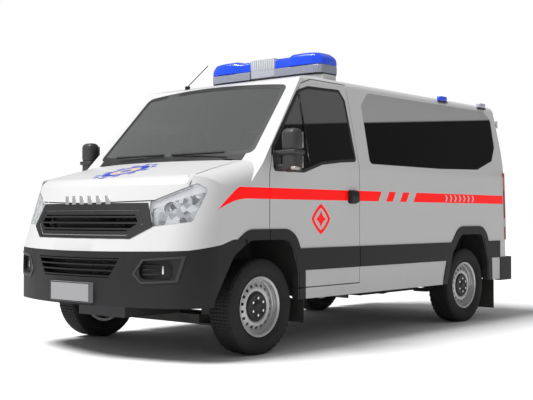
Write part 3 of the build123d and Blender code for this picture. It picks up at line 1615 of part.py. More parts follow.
handle_x = -1092
handle_z = 1165
handle_length = 130
handle_height = 112
handle_proud = 34
handle_round = 28
with BuildPart() as door_fittings:
    add(trim_left.part)
    add(door_region, mode=Mode.INTERSECT)
    with BuildSketch(Plane.XZ.offset(-half_width)):
        with Locations((handle_x, handle_z)):
            RectangleRounded(handle_length, handle_height, handle_round)
    extrude(amount=-handle_proud, taper=20)

# Mirrors: a housing on two arms from the door's front corner
mirror_x = -75
mirror_y = 1120
mirror_low_z = 1330
mirror_high_z = 1650
mirror_half_width = 95
mirror_depth = 90
mirror_round = 40
arm_heights = (1395, 1490)
arm_radius = 15
mirror_base_width = 70
mirror_base_proud = 6
with BuildPart() as door_mirror:
    with BuildSketch(Plane.YZ.offset(mirror_x - mirror_depth)) as face:
        with Locations((mirror_y, (mirror_low_z + mirror_high_z) / 2)):
            RectangleRounded(2 * mirror_half_width, mirror_high_z - mirror_low_z, mirror_round)
    extrude(amount=mirror_depth)
    for height in arm_heights:
        with BuildSketch(Plane.XZ.offset(cut - half_width)):
            with Locations((mirror_x - mirror_depth, height)):
                Circle(arm_radius)
        extrude(amount=-(mirror_y - half_width + cut))
    with BuildSketch(Plane.XZ.offset(cut - half_width)):
        with Locations((mirror_x - mirror_depth, (arm_heights[0] + arm_heights[1]) / 2)):
            RectangleRounded(mirror_base_width, arm_heights[1] - arm_heights[0] + 2 * cut, arm_radius)
    extrude(amount=-cut - mirror_base_proud)
    add(body_form, mode=Mode.SUBTRACT)
    add(door_fittings.part)
write_pair(door_mirror, "cab_door_trim")

# Grilles
slat_count = 3
slat_height = 12
slat_depth = 40
slat_recess = 12
with BuildPart() as grille:
    add(shell.part)
    add(grille_space, mode=Mode.INTERSECT)
    with BuildSketch(Plane.YZ.offset(lip_x - wall)) as face:
        with BuildLine():
            Polyline(*grille_points, close=True)
        make_face()
        offset(amount=-2 * frame_bar)
        with Locations((0, (grille_high_z + grille_low_z) / 2)):
            with GridLocations(body_width, (grille_high_z - grille_low_z) / (slat_count + 1), 1, slat_count):
                Rectangle(body_width, slat_height, mode=Mode.SUBTRACT)
    extrude(amount=front_overhang, mode=Mode.SUBTRACT)

bar_count = 4
bar_height = 9
with BuildPart() as intake_grille:
    add(shell.part)
    add(intake_space, mode=Mode.INTERSECT)
    with BuildSketch(Plane.YZ.offset(lip_x - wall)) as face:
        with BuildLine():
            Polyline(*intake_points, close=True)
        make_face()
        offset(amount=-2 * frame_bar)
        with Locations((0, (intake_high_z + intake_low_z) / 2)):
            with GridLocations(body_width, (intake_high_z - intake_low_z) / (bar_count + 1), 1, bar_count):
                Rectangle(body_width, bar_height, mode=Mode.SUBTRACT)
    extrude(amount=front_overhang, mode=Mode.SUBTRACT)
    add(grille.part)
write(intake_grille, "grilles")

with BuildPart() as fog_lamps:
    add(skin.part)
    add(fog_space.part, mode=Mode.INTERSECT)
    add(headlamps.part)
write(fog_lamps, "front_lamps")

# Number plates, blank
plate_length = 440
plate_height = 140
plate_thick = 5
plate_z = 470
plate_standoff = nose_x
plate_front_x = front_overhang
rear_plate_z = 700
with BuildPart() as front_plate:
    with Locations(((nose_x - arc_fall(nose_radius, plate_length / 2) + plate_front_x) / 2, 0, plate_z)):
        Box(plate_front_x - nose_x + arc_fall(nose_radius, plate_length / 2), plate_length, plate_height)
    add(body_form, mode=Mode.SUBTRACT)
write(front_plate, "number_plates")

# Rear bumper with its raised corners
rear_bumper_low_z = 366
rear_step_z = 600
rear_corner_z = 752
rear_corner_proud = 22
rear_face_x = mid_length_x * 2 - front_overhang
bumper_round = 60
with BuildPart() as rear_bumper:
    with BuildSketch(Plane.XY.offset(rear_bumper_low_z)) as face:
        with Locations(((rear_face_x + bumper_wrap_x) / 2, 0)):
            Rectangle(bumper_wrap_x - rear_face_x, body_width + 2 * flare_proud)
        fillet(face.vertices().group_by(Axis.X)[0], bumper_round)
    extrude(amount=rear_step_z - rear_bumper_low_z)
    add(body_form, mode=Mode.SUBTRACT)
    with Locations(((tail_x + bumper_wrap_x) / 2 + cut, 0, 0)):
        Box(bumper_wrap_x - tail_x + 2 * cut, 2 * floor_half, 2 * sill_z, mode=Mode.SUBTRACT)
write(rear_bumper, "rear_bumper")

# Rear lamps on the corners
rear_lamp_low_z = 774
rear_lamp_high_z = 1447
rear_lamp_inner_y = 905
rear_lamp_front_x = -3745
rear_lamp_proud = 14
with BuildPart() as rear_lamps:
    with BuildSketch(Plane.XY.offset(rear_lamp_low_z)) as face:
        with BuildLine():
            tail = tail_x - rear_lamp_proud + tail_lean * (rear_lamp_low_z - sill_z)
            Polyline((tail, rear_lamp_inner_y), (tail, half_width + rear_lamp_proud / 2),
                     (rear_lamp_front_x, half_width + rear_lamp_proud / 2), (rear_lamp_front_x, rear_lamp_inner_y),
                     close=True)
        make_face()
        fillet(face.vertices().group_by(Axis.X)[0].sort_by(Axis.Y)[-1], tail_corner)
    extrude(amount=rear_lamp_high_z - rear_lamp_low_z, dir=unit(tail_lean, 0, 1))
    add(body_form, mode=Mode.SUBTRACT)
    mirror(about=Plane.XZ)
write(rear_lamps, "rear_lamps")

# Wipers on the cowl
wiper_places = ((-560, 200), (90, -200))  # where each blade starts, and its pivot from the blade's middle
wiper_length = 560
wiper_lift = 14
wiper_radius = 6
wiper_v = -370
wiper_pivot_v = -450
wiper_pivot_radius = 9
with BuildPart() as wipers:
    for start, reach in wiper_places:
        rest = arc_fall(screen_radius, abs(start + wiper_length / 2))
        blade_plane = Plane(origin=screen_plane.origin + screen_plane.z_dir * (wiper_lift - rest / 2),
                            x_dir=screen_plane.x_dir, z_dir=screen_plane.z_dir)
        with BuildSketch(blade_plane):
            with Locations((start + wiper_length / 2, wiper_v)):
                Rectangle(wiper_length, 2 * wiper_radius)
        extrude(amount=wiper_radius, both=True)
        middle = start + wiper_length / 2
        with BuildSketch(blade_plane):
            with BuildLine():
                Polyline((middle - wiper_radius, wiper_v), (middle + wiper_radius, wiper_v),
                         (middle + reach + wiper_radius, wiper_pivot_v),
                         (middle + reach - wiper_radius, wiper_pivot_v), close=True)
            make_face()
            with Locations((middle + reach, wiper_pivot_v)):
                Circle(wiper_pivot_radius)
        extrude(amount=wiper_radius / 2)
        with BuildSketch(blade_plane):
            with Locations((middle + reach, wiper_pivot_v)):
                Circle(wiper_pivot_radius)
        extrude(amount=-2 * cut)
    add(body_form, mode=Mode.SUBTRACT)
write(wipers, "wipers")

# Antenna near the roof's front edge
antenna_x = -620
antenna_y = -420
antenna_length = 330
antenna_radius = 4
antenna_lean = 50
antenna_foot = 22
antenna_foot_height = 32
antenna_foot_low_z = 2106
with BuildPart() as antenna:
    with BuildSketch(Plane.XY.offset(antenna_foot_low_z)):
        with Locations((antenna_x, antenna_y)):
            Circle(antenna_foot)
    extrude(amount=antenna_foot_height)
    add(body_form, mode=Mode.SUBTRACT)
    foot_top_z = antenna_foot_low_z + antenna_foot_height
    rod_plane = Plane(origin=(antenna_x, antenna_y, foot_top_z - antenna_radius), x_dir=(0, 1, 0),
                      z_dir=(-sin(radians(antenna_lean)), 0, cos(radians(antenna_lean))))
    with BuildSketch(rod_plane):
        Circle(antenna_radius)
    extrude(amount=antenna_length)
write(antenna, "antenna")

# Light bar on two feet
bar_x = -1270
bar_half = 665
bar_depth = 300
bar_base_z = 2222
bar_mid_z = 2290
bar_top_z = 2410
bar_round = 90
bar_centre_half = 190
bar_gap = 2
foot_half = 60
foot_y = 560
with BuildPart() as lightbar_base:
    with BuildSketch(Plane.XY.offset(bar_base_z)):
        with Locations((bar_x, 0)):
            RectangleRounded(bar_depth, 2 * bar_half, bar_round)
    extrude(amount=bar_mid_z - bar_base_z)
    with BuildSketch(Plane.XY.offset(bar_mid_z)):
        with Locations((bar_x, 0)):
            Rectangle(bar_depth, 2 * bar_centre_half)
    extrude(amount=bar_top_z - bar_mid_z, taper=6)
    with BuildSketch(Plane.XY.offset(crown_z - 2 * cut)):
        with Locations((bar_x, foot_y), (bar_x, -foot_y)):
            Rectangle(2 * foot_half, 2 * foot_half)
    extrude(amount=bar_base_z - crown_z + 2 * cut)
    add(body_form, mode=Mode.SUBTRACT)
write(lightbar_base, "lightbar_base")

with BuildPart() as lightbar_lenses:
    with BuildSketch(Plane.XY.offset(bar_mid_z)):
        with Locations((bar_x, 0)):
            RectangleRounded(bar_depth, 2 * bar_half, bar_round)
            Rectangle(bar_depth, 2 * bar_centre_half + 2 * bar_gap, mode=Mode.SUBTRACT)
    extrude(amount=bar_top_z - bar_mid_z, taper=10)
write(lightbar_lenses, "lightbar_lenses")

# Small beacons at the gutter
beacon_places = (-2736, -3498)
beacon_length = 130
beacon_width = 50
beacon_height = 62
beacon_z = 2085
beacon_y = 868
with BuildPart() as side_beacons:
    for x in beacon_places:
        with Locations((x, beacon_y, beacon_z + beacon_height / 2)):
            Box(beacon_length, beacon_width, beacon_height)
    add(body_form, mode=Mode.SUBTRACT)
    mirror(about=Plane.XZ)
write(side_beacons, "side_beacons")
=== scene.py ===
"""Dresses a high-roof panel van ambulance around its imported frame.

Lengths are in metres in the frame's own axes: x forwards, y to the vehicle's left, z up.
"""

import logging
import math
from collections.abc import Callable
from dataclasses import dataclass
from enum import Enum

import bmesh
import bpy
from mathutils import Matrix, Vector
from mathutils.bvhtree import BVHTree


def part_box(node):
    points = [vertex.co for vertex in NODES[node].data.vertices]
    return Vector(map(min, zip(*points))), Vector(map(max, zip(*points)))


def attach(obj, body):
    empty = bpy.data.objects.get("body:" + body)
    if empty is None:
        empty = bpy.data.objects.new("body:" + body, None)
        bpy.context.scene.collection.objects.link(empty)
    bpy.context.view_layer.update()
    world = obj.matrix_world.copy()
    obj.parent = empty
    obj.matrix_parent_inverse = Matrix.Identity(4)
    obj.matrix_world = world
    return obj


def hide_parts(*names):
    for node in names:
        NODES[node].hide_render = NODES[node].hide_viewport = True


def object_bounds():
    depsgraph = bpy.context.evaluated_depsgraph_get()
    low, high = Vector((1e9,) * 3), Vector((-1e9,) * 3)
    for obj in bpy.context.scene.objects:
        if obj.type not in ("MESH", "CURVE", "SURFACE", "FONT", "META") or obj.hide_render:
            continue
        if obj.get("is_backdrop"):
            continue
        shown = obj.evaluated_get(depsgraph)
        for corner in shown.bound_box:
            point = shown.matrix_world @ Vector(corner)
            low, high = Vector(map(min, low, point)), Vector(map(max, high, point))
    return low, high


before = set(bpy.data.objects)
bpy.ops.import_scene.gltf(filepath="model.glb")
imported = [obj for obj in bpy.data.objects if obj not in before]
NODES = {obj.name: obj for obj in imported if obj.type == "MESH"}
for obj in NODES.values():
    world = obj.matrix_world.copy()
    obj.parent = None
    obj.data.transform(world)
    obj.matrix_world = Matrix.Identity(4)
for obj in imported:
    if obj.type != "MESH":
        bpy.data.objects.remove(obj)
CAD_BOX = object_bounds()
LOG = logging.getLogger("ambulance")

IMAGE_WIDTH = 533
CAMERA_PLACE = (6.8568, 5.6192, 1.0043)
CAMERA_YAW = math.radians(-139.4846)
CAMERA_PITCH = math.radians(0.98364)
FOCAL_PIXELS = 977.1
SENSOR_WIDTH = 36.0

TYRE_RADIUS = 0.349
WHEEL_Y = 0.862
FRONT_AXLE_X = 1.4675
REAR_AXLE_X = -1.5325
SIDE_Y = 0.955
FULL_TURN = 2 * math.pi
FAR = 4.0
WELD = 0.00002
BLACK = (0.0, 0.0, 0.0)
DUST_COLOUR = (0.30, 0.29, 0.27)
BACKWARDS = Vector((-1, 0, 0))
FORWARDS = Vector((1, 0, 0))

Colour = tuple[float, float, float]
Profile = list[tuple[float, float]]
Mesh = bmesh.types.BMesh
Vert = bmesh.types.BMVert
Face = bmesh.types.BMFace


class Side(Enum):
    """Sides of the vehicle, as the sign of y."""

    LEFT = 1
    RIGHT = -1

    @property
    def word(self) -> str:
        """The side's word in node and body names."""
        return self.name.lower()


def joined_by(operation: str) -> Callable[["Field", "Field | float"], "Field"]:
    """Makes an operator that joins a field and another value with this Math node."""
    return lambda field, other: field.graph.math(operation, field, other)


class Field:
    """A socket's value, which operators extend with Math nodes. Masks are joined by & and |."""

    __add__ = joined_by("ADD")
    __sub__ = joined_by("SUBTRACT")
    __mul__ = joined_by("MULTIPLY")
    __and__ = joined_by("MULTIPLY")
    __or__ = joined_by("MAXIMUM")
    __truediv__ = joined_by("DIVIDE")
    __pow__ = joined_by("POWER")
    __lt__ = joined_by("LESS_THAN")
    __gt__ = joined_by("GREATER_THAN")

    def __init__(self, graph: "Graph", socket: bpy.types.NodeSocket) -> None:
        """Keeps the socket and the graph that it is in."""
        self.graph = graph
        self.socket = socket

    def __abs__(self) -> "Field":
        """The value without its sign."""
        return self.graph.math("ABSOLUTE", self)

    def __round__(self) -> "Field":
        """The nearest whole number."""
        return self.graph.math("ROUND", self)

    def within(self, low: float, high: float) -> "Field":
        """Masks where the value lies between two others."""
        return (self > low) & (self < high)


class Graph:
    """A node tree with short calls for the nodes that the finishes use."""

    def __init__(self, tree: bpy.types.NodeTree) -> None:
        """Keeps the tree that the calls add to."""
        self.tree = tree

    def add(self, kind: str, values: dict[str | int, object] | None = None,
            **settings: object) -> bpy.types.Node:
        """Adds a node.

        Args:
            kind: Blender's node type name.
            values: What its inputs get, by name or number.
            settings: Properties set on it.

        Returns:
            The new node.
        """
        node = self.tree.nodes.new(kind)
        for name, value in settings.items():
            setattr(node, name, value)
        self.feed(node, values or {})
        return node

    def feed(self, node: bpy.types.Node, values: dict[str | int, object]) -> None:
        """Links a node's inputs to fields, or sets them to plain numbers and colours.

        Args:
            node: The node.
            values: What its inputs get, by name or number.
        """
        for name, value in values.items():
            if isinstance(value, Field):
                self.tree.links.new(value.socket, node.inputs[name])
            else:
                node.inputs[name].default_value = (*value, 1.0) if isinstance(value, tuple) else value

    def out(self, node: bpy.types.Node, name: str | int = 0) -> Field:
        """One output of a node as a field."""
        return Field(self, node.outputs[name])

    def math(self, operation: str, *values: Field | float, clamp: bool = False) -> Field:
        """Works out one value from others with a Math node."""
        values = dict(enumerate(values))
        return self.out(self.add("ShaderNodeMath", values, operation=operation, use_clamp=clamp))

    def mix(self, factor: Field | float, first: Field | Colour, second: Field | Colour,
            blend: str = "MIX") -> Field:
        """Mixes two colours by a factor."""
        values = {0: factor, 6: first, 7: second}
        return self.out(self.add("ShaderNodeMix", values, data_type="RGBA", blend_type=blend), 2)

    def axes(self, vector: Field) -> list[Field]:
        """Splits a vector into its x, y and z."""
        node = self.add("ShaderNodeSeparateXYZ", {0: vector})
        return [Field(self, socket) for socket in node.outputs]

    def ramp(self, value: Field, start: float, end: float) -> Field:
        """Turns a value into 0 at start, 1 at end, and a straight line between."""
        values = dict(enumerate((value, start, end, 0.0, 1.0)))
        return self.out(self.add("ShaderNodeMapRange", values, clamp=True))

    def noise(self, vector: Field, scale: Field | float, detail: float) -> Field:
        """Noise of this scale."""
        values = {"Vector": vector, "Scale": scale, "Detail": detail}
        return self.out(self.add("ShaderNodeTexNoise", values), "Fac")

    def group(self, tree: bpy.types.NodeTree, **values: Field | float) -> list[Field]:
        """Places a shared group and feeds its inputs.

        Args:
            tree: The group's node tree.
            values: What its inputs get, by name in small letters.

        Returns:
            Its outputs.
        """
        values = {name.capitalize(): value for name, value in values.items()}
        node = self.add("ShaderNodeGroup", values, node_tree=tree)
        return [Field(self, socket) for socket in node.outputs]

    def seen(self) -> Field:
        """Masks the rays that come from the camera, also through glass."""
        path = self.add("ShaderNodeLightPath")
        return self.out(path, "Is Camera Ray") | self.out(path, "Is Transmission Ray")


def new_group(name: str, inputs: tuple[str, ...],
              outputs: tuple[str, ...]) -> tuple[Graph, list[Field], bpy.types.Node]:
    """Starts a shader node group with named sockets.

    Args:
        name: Name of the group.
        inputs: Names of its inputs, all numbers but Vector.
        outputs: Names of its outputs, all numbers.

    Returns:
        The graph, its inputs as fields, and its output node.
    """
    tree = bpy.data.node_groups.new(name, "ShaderNodeTree")
    for names, side in ((inputs, "INPUT"), (outputs, "OUTPUT")):
        for socket in names:
            kind = "NodeSocketVector" if socket == "Vector" else "NodeSocketFloat"
            tree.interface.new_socket(name=socket, in_out=side, socket_type=kind)
    graph = Graph(tree)
    start = graph.add("NodeGroupInput")
    return graph, [graph.out(start, socket) for socket in inputs], graph.add("NodeGroupOutput")


def grain_group(slow: float = 0.02) -> bpy.types.NodeTree:
    """Builds the group for moulded grain: a fine height and a slow mottling mask.

    Args:
        slow: Scale of the mottling, as a share of the grain's.

    Returns:
        The group's node tree.
    """
    graph, (vector, scale), end = new_group("moulded_grain", ("Vector", "Scale"), ("Height", "Mottle"))
    graph.feed(end, {"Height": graph.noise(vector, scale, 3.0),
                     "Mottle": graph.noise(vector, scale * slow, 4.0)})
    return graph.tree


def dust_group(patches: float = 7.0) -> bpy.types.NodeTree:
    """Builds the group for road dust: a mask that fades upwards and breaks up in patches.

    Args:
        patches: Patches per metre.

    Returns:
        The group's node tree.
    """
    graph, (vector, top, strength), end = new_group("road_dust", ("Vector", "Top", "Strength"), ("Mask",))
    level = graph.math("SUBTRACT", 1.0, graph.axes(vector)[2] / top, clamp=True)
    spread = level * graph.noise(vector, patches, 6.0)
    graph.feed(end, {"Mask": graph.math("MULTIPLY", spread, strength, clamp=True)})
    return graph.tree


GRAIN = grain_group()
DUST = dust_group()


def from_axle(x: Field) -> Field:
    """How far along the vehicle a place is from the nearer axle."""
    middle = (FRONT_AXLE_X + REAR_AXLE_X) / 2
    return abs(abs(x - middle) - (FRONT_AXLE_X - middle))


@dataclass(frozen=True)
class Finish:
    """A plain finish: a colour with mottling, moulded grain and road dust.

    Attributes:
        name: Name of the material.
        colour: Base colour.
        roughness: Mean roughness.
        metallic: Metallic weight.
        grain: Size of the grain, as a noise scale per metre.
        bump: Depth of the grain in metres.
        mottle: How much the colour varies.
        dust: Strength of the road dust.
        dust_top: Height where the dust ends.
        coat: Weight of a clear coat.
        transmission: Weight of light let through.
        lamp_and_painted_glow: Strength of the base colour's own light: a lamp's glow on lamp lenses, and a
            painted glow on surfaces that are no lamp.
        specular: Level of the surface's own reflection.
    """

    name: str
    colour: Colour
    roughness: float = 0.5
    metallic: float = 0.0
    grain: float = 900.0
    bump: float = 0.0002
    mottle: float = 0.12
    dust: float = 0.0
    dust_top: float = 0.7
    coat: float = 0.0
    transmission: float = 0.0
    lamp_and_painted_glow: float = 0.0
    specular: float = 0.5

    def pattern(self, graph: Graph, vector: Field) -> Field | Colour:
        """The colour before mottling and dust."""
        return self.colour

    def glowing(self, graph: Graph, vector: Field, colour: Field) -> Field:
        """The colour of the surface's own light."""
        return colour

    def height(self, graph: Graph, vector: Field, grain: Field) -> Field:
        """The height that the bump follows."""
        return grain

    def build(self) -> bpy.types.Material:
        """Makes the material.

        Returns:
            The new material.
        """
        material = bpy.data.materials.new(self.name)
        material.use_nodes = True
        material.node_tree.nodes.clear()
        graph = Graph(material.node_tree)
        vector = graph.out(graph.add("ShaderNodeTexCoord"), "Object")
        grain, mottle = graph.group(GRAIN, vector=vector, scale=self.grain)
        shade = mottle * self.mottle + (1.0 - self.mottle / 2)
        colour = graph.mix(1.0, self.pattern(graph, vector), shade, "MULTIPLY")
        if self.dust:
            mask = graph.group(DUST, vector=vector, top=self.dust_top, strength=self.dust)[0]
            colour = graph.mix(mask, colour, DUST_COLOUR)
        least = self.roughness - self.mottle / 2
        rough = graph.math("MULTIPLY_ADD", mottle, self.mottle, least, clamp=True)
        height = self.height(graph, vector, grain)
        bump = graph.add("ShaderNodeBump", {"Distance": self.bump, "Height": height})
        surface = graph.add("ShaderNodeBsdfPrincipled", {
            "Base Color": colour, "Roughness": rough, "Metallic": self.metallic, "Coat Weight": self.coat,
            "Specular IOR Level": self.specular, "Transmission Weight": self.transmission,
            "Normal": graph.out(bump)})
        # Own light: a lamp's glow on the lenses, and a painted glow on the paint's red stripe and door emblem.
        if self.lamp_and_painted_glow:
            light = self.glowing(graph, vector, colour)
            graph.feed(surface, {"Emission Color": light, "Emission Strength": self.lamp_and_painted_glow})
        graph.add("ShaderNodeOutputMaterial", {"Surface": graph.out(surface)})
        return material


@dataclass(frozen=True)
class Stripe:
    """The red stripe along both sides, with slanted gaps and a row of small marks.

    Attributes:
        low: Height of its lower edge.
        high: Height of its upper edge.
        tail_x: Its rear end.
        tip_x: Its tip.
        high_drop: Where the upper edge starts to fall, how far it falls to the tip, and the fall's power.
        low_drop: The same for the lower edge.
        gaps: Gaps in it.
        gap_x: Middle of the foremost gap.
        gap_pitch: Distance from gap to gap.
        gap_share: Half of a gap, as a share of that distance.
        gap_lean: How much a gap leans, for each metre of height.
        mark_x: Front of the row of marks.
        mark_pitch: Distance from mark to mark.
        mark_share: Width of a mark, as a share of that distance.
        mark_lean: How much a mark's arms lean.
        mark_half: Half of a mark's height.
        marks: Marks in the row.
    """

    low: float = 1.134
    high: float = 1.217
    tail_x: float = -2.24
    tip_x: float = 1.9425
    high_drop: tuple[float, float, float] = (1.735, 0.158, 1.3)
    low_drop: tuple[float, float, float] = (1.655, 0.078, 2.0)
    gaps: int = 3
    gap_x: float = -0.0805
    gap_pitch: float = 0.217
    gap_share: float = 0.265
    gap_lean: float = 0.59
    mark_x: float = -1.12
    mark_pitch: float = 0.083
    mark_share: float = 0.30
    mark_lean: float = 0.8
    mark_half: float = 0.030
    marks: int = 7

    def mask(self, graph: Graph, vector: Field) -> Field:
        """Masks the stripe, less its gaps and marks.

        Args:
            graph: The material's graph.
            vector: Place on the object.

        Returns:
            The mask.
        """
        x, y, z = graph.axes(vector)
        middle = (self.low + self.high) / 2

        def edge(height: float, start: float, drop: float, power: float) -> Field:
            """Height of an edge that falls towards the tip."""
            return graph.ramp(x, start, self.tip_x) ** power * -drop + height

        body = (z < edge(self.high, *self.high_drop)) & (z > edge(self.low, *self.low_drop))
        body = body & x.within(self.tail_x, self.tip_x) & (abs(y) > SIDE_Y)
        count = ((z - middle) * self.gap_lean + x - self.gap_x) / -self.gap_pitch
        near = abs(count - (self.gaps - 1) / 2) < self.gaps / 2
        gaps = near & (abs(count - round(count)) < self.gap_share)
        away = abs(z - middle)
        place = (away * -self.mark_lean + x - self.mark_x) / -self.mark_pitch
        dash = graph.math("FRACT", place + (self.marks + 1)) < self.mark_share
        marks = dash & place.within(0.0, self.marks) & (away < self.mark_half)
        return graph.math("SUBTRACT", 1.0, gaps | marks) & body


@dataclass(frozen=True)
class Paint(Finish):
    """White paint with the stripe and the emblems of doors and bonnet, painted shade where it turns in at the
    wheels, and a painted glow on the red.

    Attributes:
        red: Colour of the stripe and the door emblem.
        blue: Colour of the bonnet emblem's rings.
        yellow: Colour of its inner ring.
        dark: Colour of the painted shade on the edges round the wheels.
        stripe: The stripe.
        door: Place of the door emblem, x and z.
        ring: Inner and outer reach of its ring.
        star: Reach of its star.
        bonnet: Place of the bonnet emblem, x and y.
        stretch: How far that one is stretched along x and y.
        petals: Breaks in its rings.
        blue_ring: Radii of its whole ring.
        blue_dashes: Radii of its broken ring.
        blue_dot: Radius of its middle.
        yellow_dashes: Radii of its inner ring.
        bonnet_z: Height above which it is drawn.
        arch_reach: How far from an axle the painted shade on the edges reaches.
        arch_z: How high they reach.
        arch_y: How far out they reach.
        arch_x: How far forward they reach.
    """

    red: Colour = (0.95, 0.001, 0.001)
    blue: Colour = (0.01, 0.05, 0.55)
    yellow: Colour = (0.9, 0.5, 0.02)
    dark: Colour = (0.01, 0.01, 0.01)
    stripe: Stripe = Stripe()
    door: tuple[float, float] = (0.7985, 0.987)
    ring: tuple[float, float] = (0.086, 0.118)
    star: float = 0.074
    bonnet: tuple[float, float] = (1.935, 0.015)
    stretch: tuple[float, float] = (1.7, 1.25)
    petals: float = 12.0
    blue_ring: tuple[float, float] = (0.078, 0.120)
    blue_dashes: tuple[float, float] = (0.130, 0.160)
    blue_dot: float = 0.03
    yellow_dashes: tuple[float, float] = (0.040, 0.072)
    bonnet_z: float = 1.2
    arch_reach: float = 0.50
    arch_z: float = 0.90
    arch_y: float = 0.9985
    arch_x: float = 1.72

    def red_mask(self, graph: Graph, vector: Field) -> Field:
        """Masks the stripe and the door emblem, a rounded diamond ring round a four-pointed star.

        Args:
            graph: The material's graph.
            vector: Place on the object.

        Returns:
            The mask.
        """
        x, y, z = graph.axes(vector)
        across, up = abs(x - self.door[0]), abs(z - self.door[1])

        def reach(power: float) -> Field:
            """Distance from the emblem's middle, squared off or drawn in by the power."""
            return (across ** power + up ** power) ** (1.0 / power)

        emblem = reach(1.25).within(*self.ring) | (reach(0.66) < self.star)
        return self.stripe.mask(graph, vector) | (emblem & (abs(y) > SIDE_Y))

    def arch_shade_mask(self, graph: Graph, vector: Field) -> Field:
        """Masks the painted shade on the edges of the panels that are turned in round the wheels.

        Args:
            graph: The material's graph.
            vector: Place on the object.

        Returns:
            The mask.
        """
        x, y, z = graph.axes(vector)
        near = (from_axle(x) < self.arch_reach) & (z < self.arch_z)
        return near & (abs(y) < self.arch_y) & (x < self.arch_x)

    def glowing(self, graph: Graph, vector: Field, colour: Field) -> Field:
        """Painted glow: the red stripe and door emblem give off their own red light, though they are no lamp,
        so that they look brighter.
        """
        return graph.mix(self.red_mask(graph, vector), BLACK, colour)

    def pattern(self, graph: Graph, vector: Field) -> Field:
        """Draws the painted shade on the edges round the wheels, the stripe and the emblems over the white.

        Args:
            graph: The material's graph.
            vector: Place on the object.

        Returns:
            The colour.
        """
        x, y, z = graph.axes(vector)
        along = (x - self.bonnet[0]) / self.stretch[0]
        across = (y - self.bonnet[1]) / self.stretch[1]
        radius = (along * along + across * across) ** 0.5
        petals = graph.math("SINE", graph.math("ARCTAN2", across, along) * self.petals) > 0.0
        above = z > self.bonnet_z
        dashes = radius.within(*self.blue_dashes) & petals
        blue = (radius.within(*self.blue_ring) | dashes | (radius < self.blue_dot)) & above
        yellow = radius.within(*self.yellow_dashes) & petals & above
        colour = self.colour
        # Painted shade, nearly black, on the panel edges that turn in round the wheels.
        arch_shade, red = self.arch_shade_mask(graph, vector) * 0.97, self.red_mask(graph, vector)
        for mask, tint in ((arch_shade, self.dark), (red, self.red), (blue, self.blue), (yellow, self.yellow)):
            colour = graph.mix(mask, colour, tint)
        return colour


@dataclass(frozen=True)
class FilmGlass(Finish):
    """Side glass: clear grey above and a black film below a sloping line.

    Attributes:
        film: Colour of the film.
        line_x: Where along the vehicle the line's height is given.
        line_z: The line's height there.
        line_rise: How much the line rises for each metre rearwards.
        fade: How far above the line the film starts to fade, and where it ends.
    """

    film: Colour = (0.006, 0.006, 0.007)
    line_x: float = 0.0975
    line_z: float = 1.80
    line_rise: float = 0.0856
    fade: tuple[float, float] = (-0.012, 0.004)

    def pattern(self, graph: Graph, vector: Field) -> Field:
        """Draws the film below the line.

        Args:
            graph: The material's graph.
            vector: Place on the object.

        Returns:
            The colour.
        """
        x, _, z = graph.axes(vector)
        above = (x - self.line_x) * self.line_rise + z - self.line_z
        return graph.mix(graph.ramp(above, *self.fade), self.film, self.colour)


@dataclass(frozen=True)
class LampHousing(Finish):
    """A lamp's bright faceted reflector, with a white light strip along its top edge.

    Attributes:
        facets: Facets per metre.
        dark: Colour of the darkest facet.
        light: Colour of the light strip.
        strip: Width of the light strip.
        edge_z: Height of the lamp's top edge at the vehicle's middle, if it went on so far.
        edge_rise: How much that edge rises for each metre outwards.
    """

    facets: float = 24.0
    dark: Colour = (0.10, 0.10, 0.11)
    light: Colour = (0.95, 0.95, 0.96)
    strip: float = 0.052
    edge_z: float = 0.874
    edge_rise: float = 0.39

    def pattern(self, graph: Graph, vector: Field) -> Field:
        """Shades the facets and draws the strip.

        Args:
            graph: The material's graph.
            vector: Place on the object.

        Returns:
            The colour.
        """
        _, y, z = graph.axes(vector)
        cells = graph.add("ShaderNodeTexVoronoi", {"Vector": vector, "Scale": self.facets})
        shade = graph.axes(graph.out(cells, "Color"))[0]
        strip = z > abs(y) * self.edge_rise + (self.edge_z - self.strip)
        return graph.mix(strip, graph.mix(shade, self.dark, self.colour), self.light)


@dataclass(frozen=True)
class RibbedLens(Finish):
    """A moulded lens with fine ribs.

    Attributes:
        ribs: Ribs per metre.
        axis: Index of the axis that the ribs step along.
    """

    ribs: float = 120.0
    axis: int = 2

    def height(self, graph: Graph, vector: Field, grain: Field) -> Field:
        """Ribs as a sine wave along the axis."""
        return graph.math("SINE", graph.axes(vector)[self.axis] * (self.ribs * FULL_TURN)) * 0.5 + 0.5


@dataclass(frozen=True)
class RearLens(RibbedLens):
    """The rear lamp's red lens with an amber band and a clear band.

    Attributes:
        bands: Lowest point, highest point and colour of each band.
    """

    bands: tuple[tuple[float, float, Colour], ...] = (
        (1.27, 1.41, (0.62, 0.16, 0.01)), (0.90, 0.99, (0.60, 0.60, 0.62)))

    def pattern(self, graph: Graph, vector: Field) -> Field:
        """Draws the bands over the red.

        Args:
            graph: The material's graph.
            vector: Place on the object.

        Returns:
            The colour.
        """
        height = graph.axes(vector)[2]
        colour = self.colour
        for low, high, tint in self.bands:
            colour = graph.mix(height.within(low, high), colour, tint)
        return colour


@dataclass(frozen=True)
class Weave(Finish):
    """Woven seat cloth.

    Attributes:
        threads: Threads per metre.
    """

    threads: float = 420.0

    def height(self, graph: Graph, vector: Field, grain: Field) -> Field:
        """Crossed threads."""
        waves = [graph.math("SINE", value * (self.threads * FULL_TURN)) for value in graph.axes(vector)]
        return waves[0] | waves[1] | waves[2]


